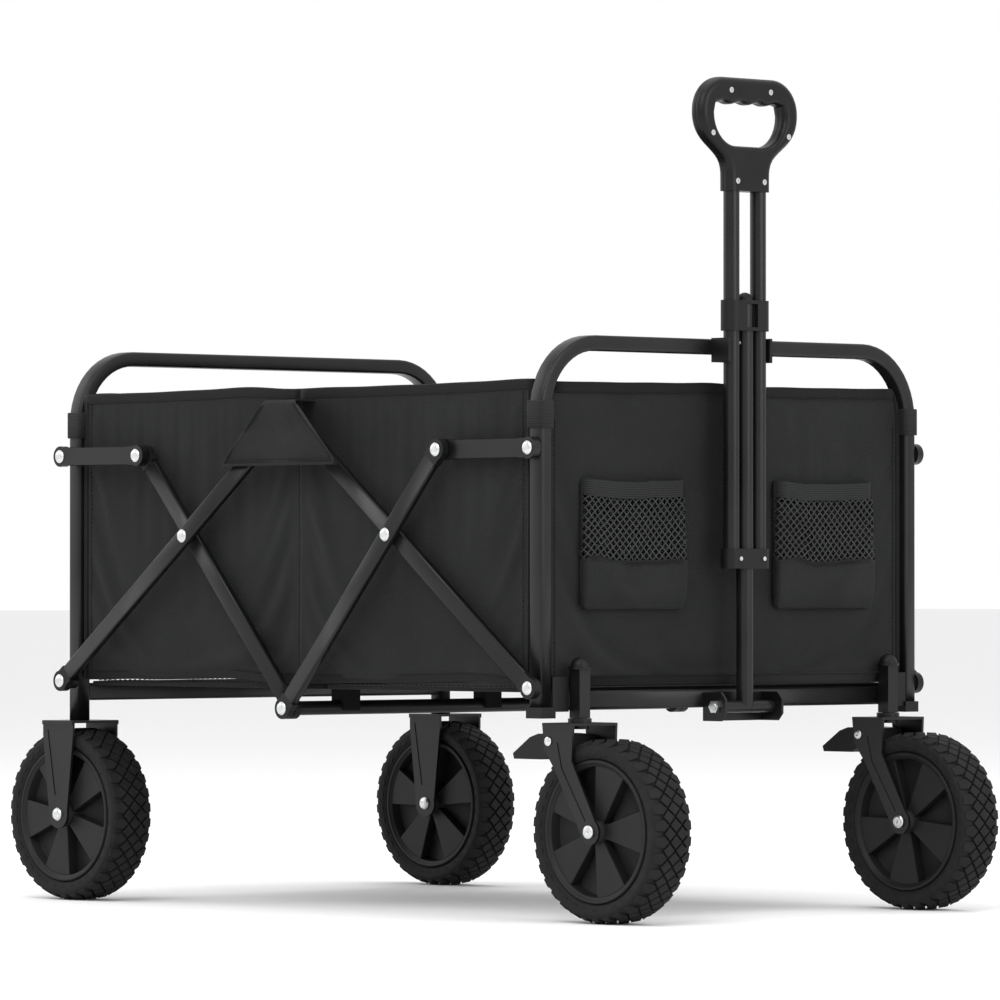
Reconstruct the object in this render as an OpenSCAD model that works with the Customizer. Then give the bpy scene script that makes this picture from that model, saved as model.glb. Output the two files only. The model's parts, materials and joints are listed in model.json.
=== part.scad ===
// Folding camp wagon: two U-shaped end frames joined by scissor side links,
// a fabric basket, a telescopic pull handle, two fixed and two swivel wheels.
// +X points to the handle end, +Z up, millimetres.

/* [Frame] */
// Distance between the front and rear posts, centre to centre
wheelbase = 780; // [700:5:900]
// Distance between the left and right posts, centre to centre
track = 574; // [500:2:700]
// Height of the top rails above the ground
top_z = 640; // [600:5:760]
// Post section along X
tube_x = 20; // [16:1:25]
// Post section along Y
tube_y = 17; // [14:1:22]
// Wall of the frame tubes
tube_wall = 1.5; // [1:0.1:2.2]
// Centre-line radius of the frame bends
bend_r = 76; // [50:1:100]

/* [Side links] */
// Height of the lower pivots
low_pivot_z = 255; // [250:1:270]
// Rise from a lower pivot to the apex pivot
apex_rise = 300; // [260:2:340]
// Height of the upper pivots on the posts
high_pivot_z = 516; // [500:1:540]
// Depth of a link tube
link_h = 20; // [16:1:24]
// Thickness of a link tube
link_t = 9; // [7:0.5:12]

/* [Basket] */
// Thickness of the fabric walls
cloth_t = 3; // [2:0.5:5]
// Drop from the top rails to the fabric rim
rim_drop = 50; // [44:1:80]
// Top of the cargo floor
floor_z = 256; // [254:1:275]
// Thickness of the floor boards
board_t = 6; // [4:1:10]
// Width of a front pocket
pocket_w = 160; // [120:5:180]
// Height of a front pocket
pocket_h = 144; // [110:2:180]
// Depth of a front pocket
pocket_d = 10; // [8:1:40]

/* [Wheels] */
// Radius of the tyres
wheel_r = 100; // [90:1:106]
// Width of the tyres
tyre_w = 56; // [44:1:64]
// Radius of the rims
rim_r = 78; // [68:1:84]
// Distance from the swivel axis to the caster axle
trail = 50; // [40:1:60]
// Radius of the axle bolts
axle_r = 6; // [5:0.5:8]
// Number of rim spokes
spokes = 5; // [4:1:7]

/* [Handle] */
// Radius of the centre tube
pole_r = 9.5; // [8:0.5:12]
// Radius of the two side tubes
rail_r = 9; // [6:0.5:9]
// Spacing of the two side tubes
rail_gap = 42; // [40:1:56]
// Height of the grip's top
grip_top = 930; // [880:5:1000]
// Width of the grip
grip_w = 154; // [130:1:170]
// Thickness of the grip
grip_t = 22; // [21:1:34]

/* [Hidden] */
$fn = 48;

half = wheelbase / 2;
side = track / 2;
gap = 0.3;          // clearance between neighbours that are not fixed together
fit = 0.05;         // radial clearance of a pivot
rivet_r = 4;
cap_r = 12;
steel_t = 3;        // thickness of pressed steel

// rear wheels stand under the rear posts, casters in front of the front posts
rear_wheel_x = -half + 5;
rear_wheel_y = side + 3;
caster_x = half + tube_x / 2 + 6;
caster_y = side - 44;
front_wheel_x = caster_x + trail;
axle_z = wheel_r;
rear_fork_z = wheel_r * 2 + 6;
front_fork_z = wheel_r * 2 + 14;
rear_foot_z = rear_fork_z + steel_t;
front_foot_z = front_fork_z + 8;
// the origin lies under the middle of the whole wagon
shift_x = -(rear_wheel_x + front_wheel_x) / 2;

// side link pivots, as [x, z] of the rear half; the front half mirrors them
pivot_d = [-half, low_pivot_z];
pivot_p = [0, low_pivot_z + apex_rise];
pivot_a = [-half, high_pivot_z];
link_len = norm(pivot_p - pivot_d);
link_rise = atan2(apex_rise, half);
crossing = 275;                    // distance from D to the crossing C
cross_up = 124;                    // distance from C to the upper end B
pivot_c = pivot_d + crossing * [cos(link_rise), sin(link_rise)];
pivot_e = [0, low_pivot_z - 27];
cross_dir = (pivot_e - pivot_c) / norm(pivot_e - pivot_c);
pivot_b = pivot_c - cross_up * cross_dir;

// layers across the wagon: inner links, then outer links
inner_y = side + tube_y / 2 + 2;
layer_gap = 1.5;
outer_y = inner_y + link_t + layer_gap;
link_out = outer_y + link_t;

// basket
rim_z = top_z - rim_drop;
socket_low = 2;
socket_h = 38;
floor_y = side - cloth_t / 2 - gap;
board_hinge_x = half - tube_x / 2 - 2 - board_t;
slat_half = 33;
slat_gap = 5;

// lower rails
rail_h = 20;
rail_x = 16;
rear_rail_z = low_pivot_z - 23;
front_rail_z = front_foot_z + 9;

// handle
handle_x = caster_x + 12;
handle_pivot_z = front_foot_z + 10;
pole_top = top_z + 42;
collar_z = top_z + 9;
collar_h = 34;
slide_z = 385;
slide_h = 22;
grip_z = grip_top - 126;
collar_r = rail_r + 3;
bracket_half = 46;
bracket_h = 32;
pole_wall = 1.5;
button_r = 3;
button_z = collar_z - 13;

module both_sides() {
  children();
  mirror([0, 1, 0]) children();
}
module both_ends() {
  children();
  mirror([1, 0, 0]) children();
}
// a block given by its lowest and highest corners
module block(low, high) {
  translate(low) cube(high - low);
}
// a cylinder along Y from y0 to y1 at [x, z]
module pin(at, r, y0, y1) {
  translate([at[0], y0, at[1]]) rotate([-90, 0, 0]) cylinder(r = r, h = y1 - y0);
}
// points of an arc, first and last included
function arc(centre, r, a0, a1, n = 6) =
  [for (i = [0:n]) centre + r * [cos(a0 + (a1 - a0) * i / n), sin(a0 + (a1 - a0) * i / n)]];
// places an outline drawn in X and Z as a plate from y0 to y1
module plate(y0, y1) {
  translate([0, y1, 0]) rotate([90, 0, 0]) linear_extrude(y1 - y0) children();
}
// domed head that faces +Y, on a surface at y0
module dome(at, r, h, y0) {
  translate([at[0], y0, at[1]]) rotate([-90, 0, 0]) rotate_extrude()
    polygon([[0, 0], [r, 0], [r, h * 0.35], [r * 0.8, h * 0.78], [r * 0.45, h], [0, h]]);
}

// ---- end frames
// height at which the posts start to bend inwards
straight = top_z - tube_y / 2 - bend_r;
module u_sweep(x, foot, sx, sy, cut = 0) {
  translate([x, 0, 0]) {
    both_sides() {
      translate([-sx / 2, side - sy / 2, foot - cut]) cube([sx, sy, straight - foot + cut]);
      translate([0, side - bend_r, straight]) rotate([90, 0, 90])
        rotate_extrude(angle = 90) translate([bend_r - sy / 2, -sx / 2]) square([sy, sx]);
    }
    translate([-sx / 2, bend_r - side, top_z - tube_y / 2 - sy / 2])
      cube([sx, track - 2 * bend_r, sy]);
  }
}
module u_frame(x, foot) {
  difference() {
    u_sweep(x, foot, tube_x, tube_y);
    u_sweep(x, foot, tube_x - 2 * tube_wall, tube_y - 2 * tube_wall, 1);
  }
}
module cross_rail(x, z) {
  reach = side - tube_y / 2 - gap;
  difference() {
    block([x - rail_x / 2, -reach, z], [x + rail_x / 2, reach, z + rail_h]);
    block([x - rail_x / 2 + tube_wall, -reach - 1, z + tube_wall],
          [x + rail_x / 2 - tube_wall, reach + 1, z + rail_h - tube_wall]);
  }
}
module rear_u_frame() { color("#26272a") u_frame(-half, rear_foot_z); }
module rear_lower_rail() { color("#26272a") cross_rail(-half, rear_rail_z); }
module front_u_frame() { color("#26272a") u_frame(half, front_foot_z + steel_t); }
module front_lower_rail() { color("#26272a") cross_rail(half, front_rail_z); }

// moulded corner block around each end of the front rail
module rail_sockets() {
  color("#1b1c1e") both_sides() difference() {
    block([half - tube_x / 2, caster_y + 11, front_rail_z - socket_low],
          [half + tube_x / 2, side - tube_y / 2 - gap, front_rail_z - socket_low + socket_h]);
    block([half - rail_x / 2 - gap, caster_y, front_rail_z - gap],
          [half + rail_x / 2 + gap, side, front_rail_z + rail_h + gap]);
    // slot for the lower edge of the front wall
    block([half - cloth_t / 2 - gap, caster_y, floor_z - gap],
          [half + cloth_t / 2 + gap, side, floor_z + socket_h]);
  }
}
module foot_caps() {
  color("#1b1c1e") both_sides() difference() {
    block([half - tube_x / 2 - 2.5, side - tube_y / 2 - 2.5, front_foot_z],
          [half + tube_x / 2 + 2.5, side + tube_y / 2 + 1.5, front_foot_z + 12]);
    block([half - tube_x / 2 - gap / 2, side - tube_y / 2 - gap / 2, front_foot_z + steel_t],
          [half + tube_x / 2 + gap / 2, side + tube_y / 2 + gap / 2, front_foot_z + 13]);
    // the corner block starts here
    block([half - tube_x / 2 - gap, side - tube_y, front_rail_z - socket_low - gap],
          [half + tube_x / 2 + gap, side - tube_y / 2 - gap / 4, front_foot_z + 13]);
  }
}
post_s = 16;
post_top = front_foot_z + 53;
module caster_posts() {
  color("#26272a") both_sides() translate([caster_x, caster_y, 0]) difference() {
    block([-post_s / 2, -post_s / 2, front_foot_z], [post_s / 2, post_s / 2, post_top]);
    translate([0, 0, front_foot_z - 1]) cylinder(r = kingpin_r + 0.5, h = post_top);
  }
}
module caster_post_caps() {
  color("#1b1c1e") both_sides() translate([caster_x, caster_y, post_top]) rotate_extrude()
    polygon(concat([[0, 0], [12.5, 0], [12.5, 3], [10.5, 3]], arc([0, 3], 10.5, 0, 90, 6)));
}

// ---- rear forks, fixed under the posts
fork_half = tyre_w / 2 + 3;
module ear_outline(top_x0, top_x1, top_z0, axle) {
  difference() {
    union() {
      polygon([[top_x0, top_z0], [top_x1, top_z0], [top_x1, top_z0 - 14],
               axle + [16, 3], axle + [16, -2], axle + [-16, -2], axle + [-16, 3],
               [top_x0, top_z0 - 14]]);
      translate(axle) circle(r = 16.5);
    }
    translate(axle) circle(r = axle_r + 0.1);
  }
}
// one pressed fork: top plate with two ears around the wheel
module fork(x, y, z, x0, x1, axle, hole_r) {
  translate([x, y, 0]) difference() {
    union() {
      block([x0, -fork_half - steel_t, z], [x1, fork_half + steel_t, z + steel_t]);
      both_sides() plate(fork_half, fork_half + steel_t) ear_outline(x0, x1, z, axle);
      // folded stiffening edges along the top plate
      both_sides() block([x0, fork_half + steel_t, z - 2], [x1, fork_half + steel_t + 1.5, z + steel_t]);
    }
    translate([0, 0, z - 1]) cylinder(r = hole_r, h = steel_t + 2);
    // pressed panel on each ear, tapering to the axle
    both_sides() plate(fork_half + steel_t - 0.8, fork_half + steel_t + 0.1)
      polygon([[x0 + 8, z - 8], [x1 - 8, z - 8], axle + [6, 22], axle + [-6, 22]]);
  }
}
module rear_wheel_forks() {
  color("#232427") both_sides()
    fork(rear_wheel_x, rear_wheel_y, rear_fork_z, -27, 27, [0, axle_z], 3);
}
module axle_bolt(x, y) {
  reach = fork_half + steel_t;
  translate([x, y, 0]) {
    pin([0, axle_z], axle_r, -reach, reach);
    dome([0, axle_z], 7.5, 4, reach);
    mirror([0, 1, 0]) dome([0, axle_z], 7.5, 4, reach);
  }
}
module rear_axle_bolts() {
  color("#c9cbd0") both_sides() axle_bolt(rear_wheel_x, rear_wheel_y);
}

// ---- rivets and spacers on the posts
module rivet(at, y0) {
  pin(at, rivet_r, y0, link_out);
  dome(at, 7.5, 3, link_out);
}
module spacer(at, r, y1) {
  difference() {
    pin(at, r, side + tube_y / 2, y1);
    pin(at, rivet_r + fit, side, y1 + 1);
  }
}
module rear_rivets() {
  color("#c9cbd0") both_sides() for (at = [pivot_a, pivot_d]) rivet(at, side + tube_y / 2);
}
module rear_spacers() {
  color("#1b1c1e") both_sides() for (at = [pivot_a, pivot_d]) spacer(at, 9, outer_y - gap);
}
module front_rivets() {
  color("#c9cbd0") both_sides() for (at = [pivot_a, pivot_d]) {
    pin([-at[0], at[1]], rivet_r, side + tube_y / 2, inner_y + link_t);
    dome([-at[0], at[1]], 7.5, 3, inner_y + link_t);
  }
}
module front_spacers() {
  color("#1b1c1e") both_sides() for (at = [pivot_a, pivot_d])
    spacer([-at[0], at[1]], 9, inner_y - gap);
}

// ---- side links
tube_trim = 15;
// runs its children along a link that starts at point a and ends at point b
module along(a, b) {
  d = b - a;
  translate([a[0], 0, a[1]]) rotate([0, -atan2(d[1], d[0]), 0]) children();
}
module link_tube(a, b, y, holes = []) {
  len = norm(b - a);
  along(a, b) difference() {
    block([tube_trim, y, -link_h / 2], [len - tube_trim, y + link_t, link_h / 2]);
    block([tube_trim - 1, y + tube_wall, -link_h / 2 + tube_wall],
          [len - tube_trim + 1, y + link_t - tube_wall, link_h / 2 - tube_wall]);
    for (s = holes) pin([s, 0], rivet_r + fit, y - 1, y + link_t + 1);
  }
}
// moulded end: round eye, shoulder and a tongue that plugs into the tube
module link_end(y) {
  tongue = tube_wall + 0.15;
  difference() {
    union() {
      pin([0, 0], cap_r, y, y + link_t);
      block([0, y, -link_h / 2 - 0.6], [tube_trim, y + link_t, link_h / 2 + 0.6]);
      block([tube_trim, y + tongue, -link_h / 2 + tongue],
            [tube_trim + 9, y + link_t - tongue, link_h / 2 - tongue]);
    }
    pin([0, 0], rivet_r + fit, y - 1, y + link_t + 1);
  }
}
module link_caps(a, b, y) {
  along(a, b) link_end(y);
  along(b, a) link_end(y);
}
function ahead(p) = [-p[0], p[1]];
cross_len = norm(pivot_e - pivot_b);
link_grey = "#2b2c2f";
cap_black = "#141517";
module rear_long_tubes() {
  color(link_grey) both_sides() link_tube(pivot_d, pivot_p, outer_y, [crossing]);
}
module rear_long_caps() { color(cap_black) both_sides() link_caps(pivot_d, pivot_p, outer_y); }
module front_long_tubes() {
  color(link_grey) both_sides() link_tube(ahead(pivot_d), pivot_p, inner_y, [crossing]);
}
module front_long_caps() {
  color(cap_black) both_sides() link_caps(ahead(pivot_d), pivot_p, inner_y);
}
module rear_cross_tubes() {
  color(link_grey) both_sides() link_tube(pivot_b, pivot_e, inner_y, [cross_up]);
}
module rear_cross_caps() { color(cap_black) both_sides() link_caps(pivot_b, pivot_e, inner_y); }
module front_cross_tubes() {
  color(link_grey) both_sides() link_tube(ahead(pivot_b), pivot_e, outer_y, [cross_up]);
}
module front_cross_caps() {
  color(cap_black) both_sides() link_caps(ahead(pivot_b), pivot_e, outer_y);
}
module rear_short_links() {
  color(link_grey) both_sides() {
    link_tube(pivot_a, pivot_b, outer_y);
    link_caps(pivot_a, pivot_b, outer_y);
  }
}
module front_short_links() {
  color(link_grey) both_sides() {
    link_tube(ahead(pivot_a), ahead(pivot_b), inner_y);
    link_caps(ahead(pivot_a), ahead(pivot_b), inner_y);
  }
}
// rivets that ride on the rear long links: the crossing and the apex
module apex_rivets() {
  color("#c9cbd0") both_sides() for (at = [pivot_c, pivot_p]) rivet(at, inner_y);
}
// rivets that ride on the front cross links: the crossing, the upper and the lower end
module cross_rivets() {
  color("#c9cbd0") both_sides() {
    rivet(ahead(pivot_c), inner_y);
    rivet(ahead(pivot_b), outer_y);
    rivet(pivot_e, outer_y);
  }
}
module short_rivets() {
  color("#c9cbd0") both_sides() rivet(pivot_b, outer_y);
}
// fabric cover that hangs over each apex joint
cover_top = 26;
cover_half = 100;
cover_drop = 54;
module apex_covers() {
  color("#1f2022") both_sides() {
    plate(link_out + 4, link_out + 4 + cloth_t)
      polygon([pivot_p + [-cover_half, -cover_drop], pivot_p + [cover_half, -cover_drop],
               pivot_p + [cover_top, 20], pivot_p + [-cover_top, 20]]);
    block([-cover_top, side + cloth_t / 2 + gap, pivot_p[1] + 20 - cloth_t],
          [cover_top, link_out + 4 + cloth_t, pivot_p[1] + 20]);
  }
}
tube_end = inner_y - gap;
module centre_tube() {
  color(link_grey) difference() {
    pin(pivot_e, 8, -tube_end, tube_end);
    pin(pivot_e, 6.5, -tube_end - 1, tube_end + 1);
  }
}

// ---- basket
// the wall fills the frame up to the rim and follows its bends
module end_wall(x) {
  reach = side - tube_y / 2 - gap;
  r = reach - (side - bend_r);
  up = asin(max(0, min(1, (rim_z - straight) / r)));
  corner = concat([[reach, floor_z]], arc([side - bend_r, straight], r, 0, up, 6));
  translate([x - cloth_t / 2, 0, 0]) rotate([90, 0, 90]) linear_extrude(cloth_t)
    polygon(concat(corner, [for (i = [len(corner) - 1:-1:0]) [-corner[i][0], corner[i][1]]]));
}
module rear_wall() { color("#202123") end_wall(-half); }
module front_wall() { color("#202123") end_wall(half); }
module half_panels() {
  both_sides() block([-half + tube_x / 2 + gap, side - cloth_t / 2, floor_z],
                     [-gap, side + cloth_t / 2, rim_z]);
}
module side_panels_rear() { color("#202123") half_panels(); }
module side_panels_front() { color("#202123") mirror([1, 0, 0]) half_panels(); }
pocket_z = 340;
pocket_in = 70;
module front_pockets() {
  wall = 2;
  x0 = half + cloth_t / 2 + gap;
  color("#17181a") both_sides() difference() {
    block([x0, pocket_in, pocket_z], [x0 + pocket_d, pocket_in + pocket_w, pocket_z + pocket_h]);
    block([x0 + wall, pocket_in + wall, pocket_z + wall],
          [x0 + pocket_d - wall, pocket_in + pocket_w - wall, pocket_z + pocket_h + 1]);
  }
}
module board() {
  block([-board_hinge_x, -floor_y, floor_z - board_t],
        [-slat_half - slat_gap, floor_y, floor_z]);
}
module floor_board_rear() { color("#1a1b1d") board(); }
module floor_board_front() { color("#1a1b1d") mirror([1, 0, 0]) board(); }
// narrow centre slat on saddles over the centre tube
module floor_slat() {
  color("#1a1b1d") {
    block([-slat_half, -floor_y, floor_z - board_t], [slat_half, floor_y, floor_z]);
    for (y = [-220, 0, 220]) difference() {
      block([-11, y - 12, pivot_e[1] - 3], [11, y + 12, floor_z - board_t]);
      pin(pivot_e, 8.1, y - 13, y + 13);
      block([-8.1, y - 13, pivot_e[1] - 4], [8.1, y + 13, pivot_e[1]]);
    }
  }
}

// ---- handle
kingpin_r = 5.5;
pivot_h = [handle_x, handle_pivot_z];
module handle_bracket() {
  x0 = half + rail_x / 2;
  z0 = handle_pivot_z - bracket_h / 2;
  z1 = handle_pivot_z + bracket_h / 2;
  color("#232427") union() {
    block([x0, -bracket_half, z0], [x0 + steel_t, bracket_half, z1]);
    both_sides() difference() {
      plate(bracket_half - steel_t, bracket_half)
        polygon([[x0, z0], [handle_x + 8, z0], [handle_x + 15, z0 + 8], [handle_x + 15, z1 - 8],
                 [handle_x + 8, z1], [x0, z1]]);
      pin(pivot_h, rivet_r + fit, 0, bracket_half + 1);
    }
  }
}
module handle_pivot_bolt() {
  color("#c9cbd0") {
    pin(pivot_h, rivet_r, -bracket_half - 5, bracket_half);
    dome(pivot_h, 7.5, 4, bracket_half);
    translate([handle_x, -bracket_half, handle_pivot_z]) rotate([90, 0, 0])
      cylinder(r = 7.5, h = 4, $fn = 6);
  }
}
// clip on the top rail that holds the handle upright
module handle_clip() {
  x0 = half + tube_x / 2;
  y0 = rail_gap / 2 + rail_r + 0.6;
  color("#141517") {
    block([x0, -y0 - 4, top_z - 26], [x0 + 4, y0 + 4, top_z + 1]);
    both_sides() block([x0, y0, top_z - 26], [handle_x + 9, y0 + 4, top_z + 1]);
  }
}
module handle_pole() {
  color("#2b2c2f") difference() {
    union() {
      translate([handle_x, 0, handle_pivot_z]) cylinder(r = pole_r, h = pole_top - handle_pivot_z);
      pin(pivot_h, 7, -bracket_half + steel_t + 0.5, bracket_half - steel_t - 0.5);
    }
    translate([handle_x, 0, handle_pivot_z + 12])
      cylinder(r = pole_r - pole_wall, h = pole_top);
    pin(pivot_h, rivet_r + fit, -bracket_half, bracket_half);
    pin([handle_x, button_z], button_r + 0.1, -pole_r - 1, 0);
  }
}
// an oblong ring around the three tubes
module collar_body(z, h, r) {
  translate([handle_x, 0, z]) linear_extrude(h) {
    block2([-r, -rail_gap / 2], [r, rail_gap / 2]);
    for (s = [-1, 1]) translate([0, s * rail_gap / 2]) circle(r = r);
  }
}
module block2(low, high) {
  translate(low) square(high - low);
}
module rail_holes(z, h, r) {
  for (s = [-1, 1]) translate([handle_x, s * rail_gap / 2, z]) cylinder(r = r, h = h);
}
module pole_collar() {
  color("#141517") difference() {
    union() {
      collar_body(collar_z, collar_h, collar_r);
      translate([handle_x, 0, collar_z + collar_h]) rotate_extrude()
        polygon(concat([[0, -1], [pole_r - 0.5, -1]], arc([0, 0], pole_r - 0.5, 0, 90, 5)));
    }
    rail_holes(collar_z - 1, collar_h + 2, rail_r + 0.2);
    translate([handle_x, 0, collar_z - 1]) cylinder(r = pole_r + fit, h = pole_top - collar_z + 1 + fit);
    // release window
    block([handle_x + 7, -9, collar_z + 4], [handle_x + collar_r + 1, 9, collar_z + collar_h - 4]);
  }
}
module lock_button() {
  color("#c9cbd0") pin([handle_x, button_z], button_r, -min(pole_r + 2, rail_gap / 2 - rail_r - gap), -3.5);
}
module handle_side_tubes() {
  color("#2b2c2f") difference() {
    rail_holes(slide_z, grip_z + 34 - slide_z, rail_r);
    rail_holes(slide_z - 1, grip_z + 36 - slide_z, rail_r - 1.2);
  }
}
module sliding_collar() {
  color("#141517") difference() {
    collar_body(slide_z, slide_h, collar_r);
    rail_holes(slide_z - 1, slide_h + 2, rail_r + fit);
    translate([handle_x, 0, slide_z - 1]) cylinder(r = pole_r + 0.2, h = slide_h + 2);
  }
}
// grip outline in Y and Z, measured from the foot of its neck
grip_corner = 38;
neck_half = 32.5;
module grip_outline() {
  h = grip_top - grip_z;
  wide = grip_w / 2;
  right = concat([[neck_half, 0], [neck_half, 20], [neck_half + 2.4, 29], [neck_half + 9, 38],
                  [neck_half + 19.5, 46.5], [wide - 14, 54.5], [wide - 5, 65.5], [wide - 1, 75], [wide, 85]],
                 arc([wide - grip_corner, h - grip_corner], grip_corner, 0, 90, 8));
  difference() {
    polygon(concat(right, [for (i = [len(right) - 1:-1:0]) [-right[i][0], right[i][1]]]));
    grip_window(0);
  }
}
// the hand opening, with finger scallops under the top bar
window_half = grip_w / 2 - 22;
module grip_window(grow) {
  z0 = 50;
  z1 = 97;
  r = 36;
  left = concat(arc([-window_half + r, z0 + r], r + grow, 180, 270, 5));
  right = concat(arc([window_half - r, z0 + r], r + grow, 270, 360, 5));
  top = [for (i = [0:16]) let(s = window_half - 2 * window_half * i / 16)
         [s, z1 + 3 * abs(sin(s / window_half * 180 * 2))]];
  polygon(concat(left, right, top));
}
screw_at = [[31, 111.5], [59.5, 63], [21, 11]];
module grip_shell(front) {
  s = front ? 1 : -1;
  translate([handle_x, 0, grip_z]) difference() {
    rotate([90, 0, 90]) translate([0, 0, front ? fit : -grip_t / 2])
      linear_extrude(grip_t / 2 - fit) grip_outline();
    for (y = [-1, 1]) translate([0, y * rail_gap / 2, -1]) cylinder(r = rail_r + fit, h = 36);
    if (front) for (p = screw_at, y = [-1, 1])
      translate([grip_t / 2 - 2, y * p[0], p[1]]) rotate([0, 90, 0]) cylinder(r = 3.5, h = 3);
  }
}
module grip_front_shell() { color("#1a1b1d") grip_shell(true); }
module grip_rear_shell() { color("#1a1b1d") grip_shell(false); }
module grip_screws() {
  color("#9a9ca0") translate([handle_x + grip_t / 2 - 2, 0, grip_z])
    for (p = screw_at, y = [-1, 1]) translate([0, y * p[0], p[1]]) rotate([0, 90, 0]) difference() {
      cylinder(r = 3.2, h = 1.7);
      for (a = [0, 90]) rotate(a) translate([-2, -0.4, 0.9]) cube([4, 0.8, 1]);
    }
  // rivets of the sliding collar
  color("#c9cbd0") for (y = [-18.5, 18.5])
    translate([handle_x + collar_r, y, slide_z + slide_h / 2]) rotate([0, 90, 0]) cylinder(r = 2.4, h = 1.2);
}

// ---- casters
pedal_pivot = [-14, front_fork_z - 17];
module caster_fork(y) {
  color("#232427") translate([caster_x, y, 0]) {
    difference() {
      union() {
        block([-24, -fork_half - steel_t, front_fork_z], [24, fork_half + steel_t, front_fork_z + steel_t]);
        translate([0, 0, front_fork_z + steel_t]) cylinder(r = 13, h = 5 - gap);
        both_sides() plate(fork_half, fork_half + steel_t) caster_ear();
      }
      translate([0, 0, front_fork_z - 1]) cylinder(r = kingpin_r + 0.1, h = 12);
      both_sides() plate(fork_half + steel_t - 0.8, fork_half + steel_t + 0.1)
        polygon([[-1, front_fork_z - 18], [9, front_fork_z - 18], [16, front_fork_z - 42],
                 [trail + 1, axle_z + 15], [trail - 7, axle_z + 11], [6, front_fork_z - 46]]);
      both_sides() pin(pedal_pivot, rivet_r - 1 + fit, fork_half - 1, fork_half + steel_t + 1);
    }
    // the kingpin turns inside the post
    translate([0, 0, front_fork_z - 4]) cylinder(r = kingpin_r, h = 55);
    translate([0, 0, front_fork_z - 4]) cylinder(r = 10, h = 4 - gap / 3);
    axle_bolt(trail, 0);
  }
}
module caster_ear() {
  axle = [trail, axle_z];
  difference() {
    union() {
      polygon([[-24, front_fork_z + steel_t], [24, front_fork_z + steel_t], [23, front_fork_z - 22],
               [22, front_fork_z - 38], axle + [11, 7], axle + [-11, -7], [-4, front_fork_z - 48],
               [-21, front_fork_z - 26]]);
      translate(axle) circle(r = 14);
    }
    translate(axle) circle(r = axle_r + 0.1);
  }
}
module caster_fork_left() { caster_fork(caster_y); }
module caster_fork_right() { caster_fork(-caster_y); }
// foot brake between the ears, with its pivot pin
module brake_pedal(y) {
  reach = fork_half - 0.5;
  color("#141517") translate([caster_x, y, 0]) {
    plate(-reach, reach)
      polygon([pedal_pivot + [7, -6], pedal_pivot + [7, 7], pedal_pivot + [-20, 8],
               pedal_pivot + [-33, 4], pedal_pivot + [-60, -14], pedal_pivot + [-58, -20],
               pedal_pivot + [-14, -20], pedal_pivot + [-2, -13]]);
    both_sides() pin(pedal_pivot, rivet_r - 1, reach, fork_half + steel_t);
    both_sides() dome(pedal_pivot, 5, 2, fork_half + steel_t + 0.1);
  }
}
module brake_pedal_left() { brake_pedal(caster_y); }
module brake_pedal_right() { brake_pedal(-caster_y); }

// ---- wheels
hub_half = fork_half - 1;
function mirrored(list) = concat(list, [for (i = [len(list) - 1:-1:0]) [list[i][0], -list[i][1]]]);
module turned(x, y, profile) {
  translate([x, y, axle_z]) rotate([90, 0, 0]) rotate_extrude($fn = 96) polygon(profile);
}
module wheel_rim(x, y) {
  lip = rim_r - 0.1;
  face = 23;
  profile = mirrored([[axle_r + fit, hub_half], [12, hub_half], [13.5, face + 1], [rim_r - 5, face + 1],
    [rim_r - 3.5, 26], [lip, 26]]);
  inner = 15;
  outer = rim_r - 7;
  spread = 180 / spokes * 0.48;
  color("#1d1e20") difference() {
    turned(x, y, profile);
    translate([x, y, axle_z]) both_sides() for (i = [0:spokes - 1])
      rotate([0, i * 360 / spokes + 14, 0]) plate(9.5, face + 2)
        polygon(concat(arc([0, 0], outer, -spread, spread, 6), arc([0, 0], inner, spread, -spread, 2)));
  }
}
module tyre(x, y) {
  w = tyre_w / 2;
  t = wheel_r - rim_r;
  profile = mirrored([[rim_r + 0.05, w - 5], [rim_r + 0.09 * t, w - 3], [rim_r + 0.32 * t, w - 0.4],
    [rim_r + 0.5 * t, w], [wheel_r - 0.23 * t, w - 1.5], [wheel_r - 0.073 * t, w - 5], [wheel_r, w - 12]]);
  color("#161718") turned(x, y, profile);
}
module wheel_rim_front_left() { wheel_rim(front_wheel_x, caster_y); }
module wheel_rim_front_right() { wheel_rim(front_wheel_x, -caster_y); }
module wheel_rim_rear_left() { wheel_rim(rear_wheel_x, rear_wheel_y); }
module wheel_rim_rear_right() { wheel_rim(rear_wheel_x, -rear_wheel_y); }
module tyre_front_left() { tyre(front_wheel_x, caster_y); }
module tyre_front_right() { tyre(front_wheel_x, -caster_y); }
module tyre_rear_left() { tyre(rear_wheel_x, rear_wheel_y); }
module tyre_rear_right() { tyre(rear_wheel_x, -rear_wheel_y); }

// every sub-part, set about the wagon's middle
module place() { translate([shift_x, 0, 0]) children(); }
place() rear_u_frame();
place() rear_lower_rail();
place() rear_wheel_forks();
place() rear_axle_bolts();
place() rear_rivets();
place() rear_spacers();
place() rear_wall();
place() side_panels_rear();
place() front_u_frame();
place() front_lower_rail();
place() rail_sockets();
place() foot_caps();
place() front_rivets();
place() front_spacers();
place() caster_posts();
place() caster_post_caps();
place() handle_bracket();
place() handle_pivot_bolt();
place() handle_clip();
place() front_wall();
place() front_pockets();
place() side_panels_front();
place() rear_long_tubes();
place() rear_long_caps();
place() front_long_tubes();
place() front_long_caps();
place() rear_cross_tubes();
place() rear_cross_caps();
place() front_cross_tubes();
place() front_cross_caps();
place() rear_short_links();
place() front_short_links();
place() apex_rivets();
place() cross_rivets();
place() short_rivets();
place() apex_covers();
place() centre_tube();
place() floor_slat();
place() floor_board_rear();
place() floor_board_front();
place() handle_pole();
place() pole_collar();
place() lock_button();
place() handle_side_tubes();
place() sliding_collar();
place() grip_front_shell();
place() grip_rear_shell();
place() grip_screws();
place() caster_fork_left();
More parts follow.
